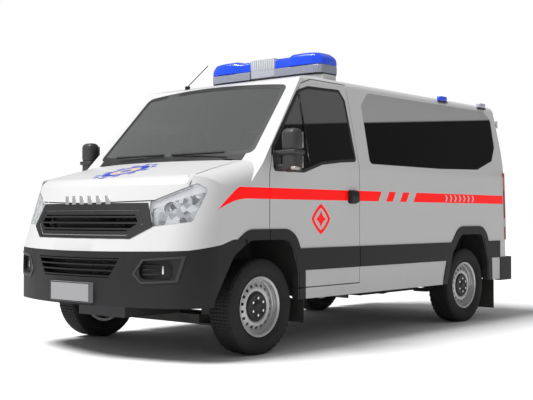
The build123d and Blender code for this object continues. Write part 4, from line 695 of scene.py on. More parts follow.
@dataclass(frozen=True)
class WheelSteel(Finish):
    """Silver steel wheel with a dark middle.

    Attributes:
        middle: Colour of the middle.
        middle_radius: Radius of the middle.
    """

    middle: Colour = (0.022, 0.022, 0.024)
    middle_radius: float = 0.082

    def pattern(self, graph: Graph, vector: Field) -> Field:
        """Draws the middle within its radius of either axle.

        Args:
            graph: The material's graph.
            vector: Place on the object.

        Returns:
            The colour.
        """
        x, _, z = graph.axes(vector)
        radius = (from_axle(x) ** 2.0 + (z - TYRE_RADIUS) * (z - TYRE_RADIUS)) ** 0.5
        away = graph.ramp(radius, self.middle_radius - 0.001, self.middle_radius + 0.001)
        return graph.mix(away, self.middle, self.colour)


SHEER = {"roughness": 0.03, "grain": 3.0, "bump": 0.0, "mottle": 0.04}
FINISHES = (
    # The paint's glow is a painted glow on the red stripe and door emblem.
    Paint("body_paint", (0.70, 0.70, 0.70), roughness=0.32, grain=60.0, bump=0.00008, mottle=0.03, coat=0.08,
          specular=0.22, dust=0.35, dust_top=0.75, lamp_and_painted_glow=0.42),
    Finish("bumper_plastic", (0.020, 0.020, 0.021), grain=1400.0, bump=0.00025, mottle=0.16, dust=0.05,
           specular=0.3),
    Finish("liner_plastic", (0.012, 0.012, 0.012), roughness=0.8, dust=0.5, dust_top=0.9),
    Finish("windscreen_glass", (0.29, 0.30, 0.30), **SHEER, transmission=0.75, specular=0.25),
    FilmGlass("side_glass", (0.60, 0.60, 0.60), **SHEER, transmission=0.3, specular=0.0),
    FilmGlass("cab_glass", (0.24, 0.24, 0.24), **SHEER, transmission=0.5, specular=0.0,
              film=(0.006, 0.006, 0.006), line_x=0.85, line_z=1.735, line_rise=0.09),
    Finish("glass_border", (0.018, 0.018, 0.019), roughness=0.35, grain=300.0, bump=0.00005),
    Finish("tyre_rubber", (0.020, 0.020, 0.020), roughness=0.72, grain=700.0, bump=0.0003, mottle=0.2,
           dust=0.10, dust_top=0.8, specular=0.3),
    WheelSteel("wheel_steel", (0.62, 0.62, 0.62), roughness=0.36, metallic=0.75, grain=500.0, bump=0.00005,
               mottle=0.1, dust=0.2, dust_top=0.8),
    Finish("bright_metal", (0.90, 0.90, 0.91), roughness=0.22, metallic=0.85, grain=200.0, bump=0.00002,
           mottle=0.05),
    Finish("chassis_steel", (0.02, 0.02, 0.021), roughness=0.6, mottle=0.3, dust=0.6, dust_top=1.0),
    Finish("engine_metal", (0.09, 0.09, 0.095), roughness=0.6, metallic=0.6, mottle=0.3),
    Finish("exhaust_steel", (0.22, 0.19, 0.16), metallic=0.9, mottle=0.4, dust=0.5),
    Finish("flap_rubber", (0.016, 0.016, 0.016), roughness=0.75, grain=500.0, mottle=0.2, dust=0.3),
    Finish("floor_vinyl", (0.10, 0.105, 0.115), roughness=0.6, grain=250.0, mottle=0.3),
    Finish("trim_plastic", (0.16, 0.165, 0.17), roughness=0.6, grain=1200.0),
    Weave("seat_cloth", (0.035, 0.036, 0.04), roughness=0.9, bump=0.0006, mottle=0.3),
    Finish("stretcher_metal", (0.6, 0.61, 0.62), roughness=0.35, metallic=0.9),
    Finish("cushion_vinyl", (0.03, 0.08, 0.22), roughness=0.45, grain=600.0, bump=0.0003),
    Finish("clear_lens", (0.93, 0.94, 0.95), roughness=0.02, grain=5.0, bump=0.0, mottle=0.02,
           transmission=0.97, specular=0.35),
    LampHousing("lamp_reflector", (0.85, 0.86, 0.87), roughness=0.25, metallic=0.6, grain=400.0, mottle=0.1),
    RearLens("red_lens", (0.33, 0.006, 0.010), roughness=0.15, bump=0.0008, ribs=60.0, coat=0.6),
    Finish("blank_plate", (0.36, 0.36, 0.37), roughness=0.4, grain=200.0, mottle=0.08),
    Finish("black_metal", (0.012, 0.012, 0.013), roughness=0.4),
    Finish("lightbar_grey", (0.52, 0.54, 0.60), roughness=0.2, coat=0.5, grain=100.0, bump=0.0001),
    RibbedLens("lightbar_white", (0.72, 0.73, 0.75), roughness=0.4, bump=0.002, ribs=60.0, axis=1),
    RibbedLens("lightbar_lens", (0.40, 0.42, 0.52), roughness=0.12, bump=0.0015, ribs=45.0, axis=1, coat=0.5,
               transmission=0.25),
    RibbedLens("blue_lens", (0.012, 0.075, 0.80), roughness=0.12, bump=0.0010, ribs=70.0, axis=1, coat=0.6,
               lamp_and_painted_glow=0.12),
    Finish("amber_lens", (0.52, 0.47, 0.44), roughness=0.15, coat=0.5),
    Finish("mirror_plastic", (0.050, 0.050, 0.052), roughness=0.42, grain=1400.0, mottle=0.16, specular=0.4),
)
MATERIALS = {finish.name: finish.build() for finish in FINISHES}

NODE_MATERIALS = {
    "body_paint": "front_panel bonnet roof_panel body_side_left body_side_right sliding_door wings "
                  "cab_door_left cab_door_right rear_door_left rear_door_right",
    "bumper_plastic": "front_bumper rear_bumper side_mouldings cab_door_trim_left cab_door_trim_right "
                      "grilles cowl",
    "liner_plastic": "wheel_liners",
    "windscreen_glass": "windscreen",
    "side_glass": "side_windows rear_door_glass_left rear_door_glass_right",
    "cab_glass": "cab_door_glass_left cab_door_glass_right",
    "tyre_rubber": "tyre_front_left tyre_front_right tyre_rear_left tyre_rear_right",
    "wheel_steel": "rim_front_left rim_front_right rim_rear_left rim_rear_right",
    "chassis_steel": "knuckle_left knuckle_right frame_rails front_suspension leaf_springs rear_axle",
    "engine_metal": "engine",
    "exhaust_steel": "exhaust",
    "flap_rubber": "mud_flaps",
    "trim_plastic": "dashboard steering_wheel partition cupboards",
    "floor_vinyl": "floor",
    "seat_cloth": "cab_seats",
    "stretcher_metal": "stretcher",
    "cushion_vinyl": "patient_cushions",
    "lamp_reflector": "front_lamps",
    "blank_plate": "number_plates",
    "red_lens": "rear_lamps",
    "black_metal": "wipers antenna fuel_tank",
    "lightbar_grey": "lightbar_base",
    "blue_lens": "lightbar_lenses side_beacons",
}


def add_object(name: str, data: bpy.types.ID) -> bpy.types.Object:
    """Puts an object with this data into the scene.

    Args:
        name: Name of the object.
        data: Its mesh, lamp or camera.

    Returns:
        The new object.
    """
    made = bpy.data.objects.new(name, data)
    bpy.context.scene.collection.objects.link(made)
    return made


def add_piece(name: str, mesh: Mesh, material: str, slot: str, body: str = "vehicle_body",
              smooth: float = 32) -> bpy.types.Object:
    """Turns a bmesh into a shaded piece that rides on a body.

    Args:
        name: Name of the piece.
        mesh: The geometry, freed here.
        material: Name of its material.
        slot: The record's material slot that the material stands for. Not used.
        body: The CAD body that carries it.
        smooth: Edges sharper than this many degrees stay sharp.

    Returns:
        The new object.
    """
    bmesh.ops.remove_doubles(mesh, verts=mesh.verts, dist=WELD)
    bmesh.ops.recalc_face_normals(mesh, faces=mesh.faces)
    data = bpy.data.meshes.new(name)
    mesh.to_mesh(data)
    mesh.free()
    data.materials.append(MATERIALS[material])
    data.shade_smooth()
    data.set_sharp_from_angle(angle=math.radians(smooth))
    piece = add_object(name, data)
    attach(piece, body)
    LOG.info("%s: %d faces on %s", name, len(data.polygons), body)
    return piece


def new_meshes(count: int) -> list[Mesh]:
    """Starts some empty meshes."""
    return [bmesh.new() for _ in range(count)]


def edges_of(verts: list[Vert]) -> list[bmesh.types.BMEdge]:
    """Every edge at some vertices."""
    return list({edge for vert in verts for edge in vert.link_edges})


def verts_in(items: list) -> list[Vert]:
    """The vertices among some parts of a mesh."""
    return [item for item in items if isinstance(item, Vert)]


def box_mesh(mesh: Mesh, first: tuple | Vector, last: tuple | Vector, round_by: float = 0.0,
             segments: int = 2, turn: Matrix | None = None) -> list[Vert]:
    """Adds a box between two opposite corners, with its edges rounded.

    Args:
        mesh: Where the box goes.
        first: One corner.
        last: The opposite one.
        round_by: Radius of its edges.
        segments: Steps in each rounded edge.
        turn: A matrix applied last.

    Returns:
        The box's vertices.
    """
    low, high = (Vector([pick(pair) for pair in zip(first, last)]) for pick in (min, max))
    verts = bmesh.ops.create_cube(mesh, size=1.0)["verts"]
    bmesh.ops.scale(mesh, vec=high - low, verts=verts)
    bmesh.ops.translate(mesh, vec=(high + low) / 2, verts=verts)
    if round_by:
        made = bmesh.ops.bevel(mesh, geom=edges_of(verts), offset=round_by, segments=segments, profile=0.5,
                               affect="EDGES", material=-1, clamp_overlap=True)
        left = {vert for vert in verts if vert.is_valid}
        verts = list(left | {vert for face in made["faces"] for vert in face.verts})
    if turn is not None:
        bmesh.ops.transform(mesh, matrix=turn, verts=verts)
    return verts


def spin_chain(mesh: Mesh, points: list[tuple | Vector], centre: Vector, axis: Vector,
               steps: int) -> list[Face]:
    """Spins a chain of points through a full turn.

    Args:
        mesh: Where the faces go.
        points: The chain, first to last.
        centre: A point on the axis.
        axis: Direction of the axis.
        steps: Steps in the turn.

    Returns:
        The faces made.
    """
    verts = [mesh.verts.new(point) for point in points]
    edges = [mesh.edges.new(pair) for pair in zip(verts, verts[1:])]
    before = set(mesh.faces)
    bmesh.ops.spin(mesh, geom=verts + edges, cent=centre, axis=axis, angle=FULL_TURN, steps=steps,
                   use_merge=True)
    return [face for face in mesh.faces if face not in before]


def rod(mesh: Mesh, start: Vector, end: Vector, radius: float, end_radius: float | None = None,
        sides: int = 16) -> None:
    """Adds a closed round rod or cone between two points.

    Args:
        mesh: Where the rod goes.
        start: Middle of its first end.
        end: Middle of its other end.
        radius: Radius at the first end.
        end_radius: Radius at the other end, or none for the same.
        sides: Sides of its section.
    """
    line = end - start
    made = bmesh.ops.create_cone(mesh, cap_ends=True, segments=sides, depth=line.length, radius1=radius,
                                 radius2=radius if end_radius is None else end_radius)
    turn = Vector((0, 0, 1)).rotation_difference(line.normalized()).to_matrix().to_4x4()
    bmesh.ops.transform(mesh, matrix=Matrix.Translation((start + end) / 2) @ turn, verts=made["verts"])


def copy_node(name: str) -> Mesh:
    """Copies a CAD node's mesh and merges it.

    Args:
        name: Name of the node.

    Returns:
        The copy.
    """
    mesh = bmesh.new()
    mesh.from_mesh(NODES[name].data)
    bmesh.ops.remove_doubles(mesh, verts=mesh.verts, dist=WELD)
    return mesh


def islands(mesh: Mesh) -> list[set[Vert]]:
    """Groups a mesh's vertices into its separate solids.

    Args:
        mesh: The mesh.

    Returns:
        The vertices of each solid.
    """
    left = set(mesh.verts)
    groups = []
    while left:
        group, open_verts = set(), [left.pop()]
        while open_verts:
            vert = open_verts.pop()
            group.add(vert)
            found = {link.other_vert(vert) for link in vert.link_edges} & left
            left -= found
            open_verts += found
        groups.append(group)
    return groups


def span(verts: set[Vert]) -> tuple[Vector, Vector]:
    """Lowest and highest corners of some vertices."""
    return tuple(Vector([pick(vert.co[axis] for vert in verts) for axis in range(3)]) for pick in (min, max))


def frame_at(place: Vector, normal: Vector) -> Matrix:
    """Makes a matrix that turns z outwards along a normal and y upwards, at a place.

    Args:
        place: The place.
        normal: The normal there.

    Returns:
        The matrix.
    """
    across = Vector((0, 0, 1)).cross(normal).normalized()
    rise = normal.cross(across).normalized()
    return Matrix.Translation(place) @ Matrix((across, rise, normal)).transposed().to_4x4()


def facing(mesh: Mesh, aim: Vector, least: float) -> list[Face]:
    """Faces that look along a direction, by at least this cosine."""
    mesh.normal_update()
    return [face for face in mesh.faces if face.normal.dot(aim) > least]


def keep_faces(mesh: Mesh, kept: list[Face]) -> None:
    """Deletes every face but these, and what is left loose.

    Args:
        mesh: The mesh.
        kept: Faces that stay.
    """
    wanted = set(kept)
    bmesh.ops.delete(mesh, geom=[face for face in mesh.faces if face not in wanted], context="FACES")
    bmesh.ops.delete(mesh, geom=[vert for vert in mesh.verts if not vert.link_faces], context="VERTS")


def thicken(mesh: Mesh, thickness: float, faces: list[Face] | None = None) -> None:
    """Gives some or all faces of a mesh a thickness."""
    bmesh.ops.solidify(mesh, geom=list(mesh.faces) if faces is None else faces, thickness=thickness)


class Skin:
    """Finds places on the outside of CAD nodes by casting rays at them."""

    def __init__(self, *names: str) -> None:
        """Gathers the nodes' meshes into one tree of faces.

        Args:
            names: Names of the nodes.
        """
        mesh = bmesh.new()
        for name in names:
            mesh.from_mesh(NODES[name].data)
        self.tree = BVHTree.FromBMesh(mesh)
        mesh.free()

    def hit(self, start: tuple[float, float, float], aim: Vector) -> tuple[Vector, Vector] | None:
        """Place and outward normal where a ray meets the nodes, or none."""
        place, normal, _, _ = self.tree.ray_cast(Vector(start), aim)
        return None if place is None else (place, normal if normal.dot(aim) < 0 else -normal)


@dataclass
class Studio:
    """White floor, soft lights and the photo's camera.

    Attributes:
        floor_size: Side of the square floor.
        floor_grey: Grey level of the floor where the camera sees it.
        bounce: Share of light that the floor throws back at the vehicle.
        sky: Grey level of the light from all round.
        sun: Strength of the key light.
        sun_angle: Degrees that it seems wide.
        sun_aim: Direction of its light.
    """

    floor_size: float = 160.0
    floor_grey: float = 0.93
    bounce: float = 0.72
    sky: float = 0.295
    sun: float = 3.8
    sun_angle: float = 25
    sun_aim: tuple[float, float, float] = (-0.45, 0.24, -0.87)

    def floor(self) -> None:
        """Lays the white floor."""
        mesh = bmesh.new()
        bmesh.ops.create_grid(mesh, x_segments=1, y_segments=1, size=self.floor_size / 2)
        data = bpy.data.meshes.new("studio_floor")
        mesh.to_mesh(data)
        mesh.free()
        grey = (self.floor_grey,) * 3
        material = Finish("studio_white", grey, roughness=0.9, grain=2.0, bump=0.0, mottle=0.02).build()
        graph = Graph(material.node_tree)
        surface = next(node for node in material.node_tree.nodes if node.type == "BSDF_PRINCIPLED")
        graph.feed(surface, {"Base Color": graph.mix(graph.seen(), (self.bounce,) * 3, grey)})
        data.materials.append(material)
        add_object("studio_floor", data)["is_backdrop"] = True

    def light(self) -> None:
        """Sets the light from all round, white where the camera sees it, and a soft sun."""
        world = bpy.data.worlds.new("studio_sky")
        bpy.context.scene.world = world
        world.use_nodes = True
        world.node_tree.nodes.clear()
        graph = Graph(world.node_tree)
        level = graph.mix(graph.seen(), (self.sky,) * 3, (1.0, 1.0, 1.0))
        back = graph.add("ShaderNodeBackground", {"Color": level})
        graph.add("ShaderNodeOutputWorld", {"Surface": graph.out(back)})
        lamp = bpy.data.lights.new("studio_sun", "SUN")
        lamp.energy = self.sun
        lamp.angle = math.radians(self.sun_angle)
        sun = add_object("studio_sun", lamp)
        sun.rotation_mode = "QUATERNION"
        sun.rotation_quaternion = Vector(self.sun_aim).to_track_quat("-Z", "Y")

    def camera(self) -> None:
        """Places the photo's camera."""
        data = bpy.data.cameras.new("photo_camera")
        data.sensor_width = SENSOR_WIDTH
        data.lens = FOCAL_PIXELS * SENSOR_WIDTH / IMAGE_WIDTH
        data.clip_end = 4 * self.floor_size
        level = math.cos(CAMERA_PITCH)
        aim = Vector((math.cos(CAMERA_YAW) * level, math.sin(CAMERA_YAW) * level, math.sin(CAMERA_PITCH)))
        camera = add_object("photo_camera", data)
        camera.location = CAMERA_PLACE
        camera.rotation_euler = aim.to_track_quat("-Z", "Y").to_euler()
        bpy.context.scene.camera = camera

    def build(self) -> None:
        """Builds floor, lights and camera."""
        self.floor()
        self.light()
        self.camera()
        bpy.context.scene.view_settings.view_transform = "Standard"


@dataclass
class CarriedNodes:
    """The CAD nodes themselves.

    Attributes:
        weld: Vertices closer than this are merged.
        sharp: Edges sharper than this many degrees stay sharp.
    """

    weld: float = 0.00003
    sharp: float = 24

    def build(self) -> None:
        """Smooths every node's curved faces, keeps its sharp edges, and gives it its material."""
        for material, names in NODE_MATERIALS.items():
            for node in (NODES[name] for name in names.split()):
                node.data.materials.clear()
                node.data.materials.append(MATERIALS[material])
                node.data.shade_smooth()
                node.modifiers.new("weld", "WELD").merge_threshold = self.weld
                node.modifiers.new("sharp", "EDGE_SPLIT").split_angle = math.radians(self.sharp)


@dataclass
class Wheel:
    """One wheel: treaded tyre, pierced steel disc in its rim, dark cap with bright bolts, and brake.

    Attributes:
        side: Side of the vehicle.
        front: Whether it is the front wheel.
        steps: Steps of the tyre round its axle.
        block_gap: Half of the groove between tread blocks.
        block_height: Depth of the tread.
        rows: Outward places of the grooves' rows.
        shoulder: Radius above which every other side face is raised to a lug.
        rim_steps: Steps of the rim round its axle.
        hub_steps: Steps of the brake and the hub.
        disc_thickness: Thickness of the disc.
        holes: Ventilation holes in the disc.
        hole_circle: Radius of the circle that the holes are on.
        hole_radius: Radius of a hole.
        hole_row: Width of the ring of faces that the holes are cut from.
        bolts: Bolts in the cap.
        bolt_circle: Radius of the circle that the bolts are on.
    """

    side: Side
    front: bool
    steps: int = 84
    block_gap: float = 0.0026
    block_height: float = 0.007
    rows: tuple[float, ...] = (0.088, 0.052, 0.017)
    shoulder: float = 0.326
    rim_steps: int = 72
    hub_steps: int = 48
    disc_thickness: float = 0.006
    holes: int = 18
    hole_circle: float = 0.155
    hole_radius: float = 0.0125
    hole_row: float = 0.0115
    bolts: int = 6
    bolt_circle: float = 0.063

    @property
    def place(self) -> str:
        """The wheel's place in node and body names."""
        return f"{'front' if self.front else 'rear'}_{self.side.word}"

    @property
    def centre(self) -> Vector:
        """The wheel's middle."""
        return Vector((FRONT_AXLE_X if self.front else REAR_AXLE_X, self.side.value * WHEEL_Y, TYRE_RADIUS))

    def spin(self, mesh: Mesh, profile: Profile, steps: int) -> list[Face]:
        """Spins a profile of (outward, radius) points about this wheel's axle."""
        points = [self.centre + Vector((0, self.side.value * out, radius)) for out, radius in profile]
        return spin_chain(mesh, points, self.centre, Vector((0, 1, 0)), steps)

    def polar(self, point: Vector) -> tuple[float, float, float]:
        """Outward offset, radius and angle of a point about the axle."""
        across = point - self.centre
        return across.y * self.side.value, math.hypot(across.x, across.z), math.atan2(across.z, across.x)

    def piece(self, name: str, mesh: Mesh, material: str, slot: str, smooth: float = 32) -> bpy.types.Object:
        """Turns a mesh into a piece that turns with this wheel."""
        return add_piece(name, mesh, material, slot, f"wheel_{self.place}", smooth)

    def tyre(self) -> None:
        """Spins the casing and raises its tread blocks and shoulder lugs."""
        base = TYRE_RADIUS - self.block_height
        wall = [(0.0847, 0.2063), (0.0847, 0.2262), (0.0925, 0.236), (0.1015, 0.2475), (0.1085, 0.262),
                (0.1122, 0.279), (0.1122, 0.285), (0.1125, 0.287), (0.1120, 0.290), (0.1100, 0.305),
                (0.1065, 0.319), (0.1005, 0.333), (0.0945, base - 0.0015)]
        inner = [(0.0717, 0.2063), (0.0985, 0.262), (0.0985, 0.290), (0.083, 0.325)]
        half = wall + [(out, base) for out in self.rows]
        loop = [(-out, radius) for out, radius in half] + half[::-1] + inner
        loop += [(-out, radius) for out, radius in inner[::-1]]
        mesh = bmesh.new()
        self.spin(mesh, loop + loop[:1], self.steps)
        bmesh.ops.remove_doubles(mesh, verts=mesh.verts, dist=WELD)
        bmesh.ops.recalc_face_normals(mesh, faces=mesh.faces)
        blocks, lugs = [], []
        for face in mesh.faces:
            out, radius, angle = self.polar(face.calc_center_median())
            index = round(angle / FULL_TURN * self.steps - 0.5)
            if radius > base - 0.0016 and abs(out) < self.rows[0]:
                blocks.append(face)
            elif self.shoulder < radius < base - 0.001 and abs(out) > self.rows[0] and index % 2 == 0:
                lugs.append(face)
        for faces, gap, height in ((blocks, self.block_gap, self.block_height - 0.0003),
                                   (lugs, self.block_gap / 2, self.block_height / 2)):
            bmesh.ops.inset_individual(mesh, faces=faces, thickness=gap, depth=height, use_even_offset=True)
        piece = self.piece(f"tyre_{self.place}_tread", mesh, "tyre_rubber", "tyre_rubber", 38)
        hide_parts(f"tyre_{self.place}")

    def disc(self, mesh: Mesh) -> None:
        """Adds the disc, with a ring of faces that are turned into round holes.

        Args:
            mesh: Where the disc goes.
        """
        profile = [(0.040, 0.1988), (0.0415, 0.1800), (0.0490, 0.1665), (0.0530, 0.1550), (0.0565, 0.1435),
                   (0.0605, 0.1290), (0.0590, 0.1180), (0.0520, 0.1090), (0.0470, 0.1000), (0.0470, 0.0480)]
        step = FULL_TURN / (self.holes * 4)
        faces = self.spin(mesh, profile, self.holes * 4)
        bmesh.ops.remove_doubles(mesh, verts=list({vert for face in faces for vert in face.verts}), dist=WELD)
        inside = []
        for face in [face for face in faces if face.is_valid]:
            _, radius, angle = self.polar(face.calc_center_median())
            if math.floor(angle / step) % 4 in (1, 2) and abs(radius - self.hole_circle) < self.hole_row:
                inside.append(face)
        for vert in {vert for face in inside for vert in face.verts}:
            _, radius, angle = self.polar(vert.co)
            hole_angle = (math.floor(angle / (4 * step)) + 0.5) * 4 * step
            turn = round((angle - hole_angle) / step)
            rise = round((radius - self.hole_circle) / self.hole_row)
            if turn or rise:
                scale = self.hole_radius / math.hypot(turn, rise)
                radius = self.hole_circle + rise * scale
                angle = hole_angle + turn * scale / self.hole_circle
                vert.co.x = self.centre.x + radius * math.cos(angle)
                vert.co.z = self.centre.z + radius * math.sin(angle)
        bmesh.ops.delete(mesh, geom=inside, context="FACES")
        left = [face for face in faces if face.is_valid]
        bmesh.ops.recalc_face_normals(mesh, faces=left)
        thicken(mesh, self.disc_thickness, left)

    def steel(self) -> None:
        """Builds the disc, the rim, the brake and the hub as one piece."""
        mesh = bmesh.new()
        self.disc(mesh)
        rim = [(-0.092, 0.2205), (-0.0855, 0.2210), (-0.0850, 0.2062), (-0.0425, 0.2060), (-0.0283, 0.1860),
               (0.0283, 0.1860), (0.0425, 0.2060), (0.0850, 0.2062), (0.0853, 0.2195), (0.0885, 0.2212),
               (0.0918, 0.2195), (0.0920, 0.2150), (0.0890, 0.2110), (0.0850, 0.2020), (0.0640, 0.2000),
               (0.0600, 0.1970), (0.0450, 0.1990), (0.0330, 0.1790), (-0.0300, 0.1790), (-0.0450, 0.1990),
               (-0.0920, 0.2000)]
        self.spin(mesh, rim + rim[:1], self.rim_steps)
        brake = (-0.031, -0.009, 0.138) if self.front else (-0.070, -0.024, 0.150)
        for low, high, outer, inner in ((*brake, 0.046), (-0.046, 0.044, 0.0478, 0.0305)):
            ring = [(low, inner), (low, outer), (high, outer), (high, inner)]
            self.spin(mesh, ring + ring[:1], self.hub_steps)
        piece = self.piece(f"wheel_{self.place}_steel", mesh, "wheel_steel", "wheel_steel")
        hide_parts(f"rim_{self.place}")

    def cap(self) -> None:
        """Builds the dark cap with its pockets, and the bright bolts in them."""
        dark, bright = new_meshes(2)
        self.spin(dark, [(0.0480, 0.0500), (0.0480, 0.1090), (0.0560, 0.1085), (0.0630, 0.1040),
                         (0.0665, 0.0950), (0.0675, 0.0840), (0.0660, 0.0800), (0.0640, 0.0440),
                         (0.0680, 0.0400), (0.0735, 0.0320), (0.0750, 0.0200), (0.0752, 0.0)], 60)
        out = Vector((0, self.side.value, 0))
        for index in range(self.bolts):
            angle = FULL_TURN * (index + 0.5) / self.bolts
            spot = self.centre + Vector((math.cos(angle), 0, math.sin(angle))) * self.bolt_circle
            for mesh, start, end, radius, sides in ((dark, 0.060, 0.0665, 0.0155, 18),
                                                    (bright, 0.0655, 0.0745, 0.0105, 6),
                                                    (bright, 0.0735, 0.0755, 0.0060, 12)):
                rod(mesh, spot + out * start, spot + out * end, radius, radius - 0.001, sides)
        self.piece(f"wheel_{self.place}_cap", dark, "black_metal", "bumper_plastic")
        self.piece(f"wheel_{self.place}_bolts", bright, "bright_metal", "wheel_steel")

    def build(self) -> None:
        """Builds the whole wheel."""
        self.tyre()
        self.steel()
        self.cap()


@dataclass
class Mirror:
    """Door mirror with a tall rounded housing, two arms, a foot, two glasses and a lamp.

    Attributes:
        side: Side of the vehicle.
        band: Height of the band between the glasses.
        band_place: Place of the band, as a share of the height.
        head: Width of the housing, as a share of the whole.
    """

    side: Side
    band: float = 0.03
    band_place: float = 0.42
    head: float = 0.62

    def build(self) -> None:
        """Keeps the CAD mouldings and puts the shaped mirror where the plain one was."""
        node, body, sign = f"cab_door_trim_{self.side.word}", f"cab_door_{self.side.word}", self.side.value
        mouldings, (housing, glass, lamp) = copy_node(node), new_meshes(3)
        plain = max(islands(mouldings), key=lambda group: span(group)[1].z)
        low, high = span(plain)
        bmesh.ops.delete(mouldings, geom=list(plain), context="VERTS")
        piece = add_piece(f"{node}_mouldings", mouldings, "bumper_plastic", "bumper_plastic", body)
        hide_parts(node)
        outer, inner = (high.y, low.y) if sign > 0 else (low.y, high.y)
        head = outer - sign * (high.y - low.y) * self.head
        middle = low.z + (high.z - low.z) * self.band_place
        for foot, top, shrink, round_by in ((middle + self.band * 0.3, high.z, 0.004, 0.045),
                                            (low.z, middle + self.band, 0.010, 0.035),
                                            (middle - self.band * 0.2, middle + self.band * 0.9, 0.0, 0.010)):
            box_mesh(housing, (low.x + shrink, head + sign * shrink, foot),
                     (high.x - shrink, outer - sign * shrink * 0.5, top), round_by, 5)
        for height in (middle + self.band * 0.4, low.z + (high.z - low.z) * 0.14):
            box_mesh(housing, (low.x + 0.022, inner + sign * 0.004, height - 0.017),
                     (low.x + 0.078, head + sign * 0.03, height + 0.017), 0.014, 4)
        box_mesh(housing, (low.x + 0.012, inner - sign * 0.006, low.z + 0.01),
                 (low.x + 0.092, inner + sign * 0.022, middle + self.band), 0.009, 3)
        for foot, top in ((middle + self.band + 0.012, high.z - 0.028), (low.z + 0.03, middle - 0.014)):
            box_mesh(glass, (low.x + 0.0005, head + sign * 0.022, foot),
                     (low.x + 0.006, outer - sign * 0.018, top), 0.002, 2)
        box_mesh(lamp, (high.x - 0.075, outer - sign * 0.045, low.z + 0.014),
                 (high.x - 0.006, outer - sign * 0.004, low.z + 0.040), 0.010, 4)
        name = f"mirror_{self.side.word}"
        add_piece(f"{name}_housing", housing, "mirror_plastic", "bumper_plastic", body, 50)
        add_piece(f"{name}_glass", glass, "bright_metal", "window_glass", body)
        add_piece(f"{name}_lamp", lamp, "amber_lens", "lamp_clear", body, 50)


@dataclass
class SoftSeats:
    """Padded cab seats and patient cushions in place of the plain solids.

    Attributes:
        cuts: Cuts across each side of a cushion.
        crown: How far a cushion's edges are thinner than its middle.
        pull: How far its corners are pulled in, as a share of its thickness.
        lean: Degrees that a seat's back leans.
        base: Height of a seat's base and place of its back, as shares of the solid.
        width: Width of one seat, about.
        pad_height: Solids lower than this are flat pads.
    """

    cuts: int = 7
    crown: float = 0.55
    pull: float = 0.18
    lean: float = 9
    base: float = 0.36
    width: float = 0.5
    pad_height: float = 0.35

    def cushion(self, mesh: Mesh, low: Vector, high: Vector, turn: Matrix | None = None) -> None:
        """Adds one stuffed cushion with swollen faces and pulled-in corners.

        Args:
            mesh: Where the cushion goes.
            low: Its lowest corner.
            high: Its highest corner.
            turn: A matrix applied last, or none.
        """
        size = high - low
        middle = (low + high) / 2
        verts = box_mesh(mesh, low, high)
        cut = bmesh.ops.subdivide_edges(mesh, edges=edges_of(verts), cuts=self.cuts, use_grid_fill=True)
        made = {vert for vert in (*verts_in(cut["geom"]), *verts) if vert.is_valid}
        axis = min(range(3), key=lambda index: size[index])
        others = [index for index in range(3) if index != axis]
        for vert in made:
            shares = [abs(vert.co[index] - middle[index]) / (size[index] / 2) for index in range(3)]
            fullness = 1 - self.crown * max(shares[index] for index in others) ** 6
            vert.co[axis] = middle[axis] + (vert.co[axis] - middle[axis]) * fullness
            for index in others:
                pull = size[axis] * self.pull * shares[axis] ** 3 * shares[index] ** 3
                vert.co[index] -= math.copysign(pull, vert.co[index] - middle[index])
        if turn is not None:
            bmesh.ops.transform(mesh, matrix=turn, verts=list(made))

    def seats(self, mesh: Mesh, low: Vector, high: Vector) -> None:
        """Fills one plain solid's place: a flat pad, or seats with a base, back and headrest each.

        Args:
            mesh: Where the cushions go.
            low: The solid's lowest corner.
            high: Its highest corner.
        """
        size = high - low
        if size.z < self.pad_height:
            self.cushion(mesh, low, high)
            return
        top = low.z + size.z * self.base
        back = low.x + size.x * self.base
        hinge = Vector((back - 0.03, 0, top - 0.10))
        lean = Matrix.Translation(hinge) @ Matrix.Rotation(-math.radians(self.lean), 4, "Y") \
            @ Matrix.Translation(-hinge)
        seats = max(1, round(size.y / self.width))
        for index in range(seats):
            left = low.y + size.y * index / seats
            right = low.y + size.y * (index + 1) / seats - 0.006
            middle = (left + right) / 2
            base = (back - 0.03, left, max(low.z, top - 0.15)), (high.x, right, top)
            rest = (back - 0.13, left + 0.015, top - 0.08), (back - 0.01, right - 0.015, high.z - 0.17)
            head = (back - 0.12, middle - 0.12, high.z - 0.155), (back - 0.04, middle + 0.12, high.z - 0.02)
            for (first, last), turn in ((base, None), (rest, lean), (head, lean)):
                self.cushion(mesh, Vector(first), Vector(last), turn)
        box_mesh(mesh, (back, low.y + 0.03, low.z),
                 (high.x - 0.04, high.y - 0.03, max(low.z + 0.02, top - 0.155)), 0.01, 2)

    def build(self) -> None:
        """Pads the seats and the cushions."""
        for node, name, material, slot in (("cab_seats", "padded_seats", "seat_cloth", "seat_fabric"),
                                           ("patient_cushions", "padded_cushions", "cushion_vinyl",
                                            "cushion_vinyl")):
            plain, mesh = copy_node(node), bmesh.new()
            for group in islands(plain):
                self.seats(mesh, *span(group))
            plain.free()
            piece = add_piece(name, mesh, material, slot, smooth=60)
            soft = piece.modifiers.new("soft", "SUBSURF")
            soft.levels = soft.render_levels = 1
            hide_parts(node)


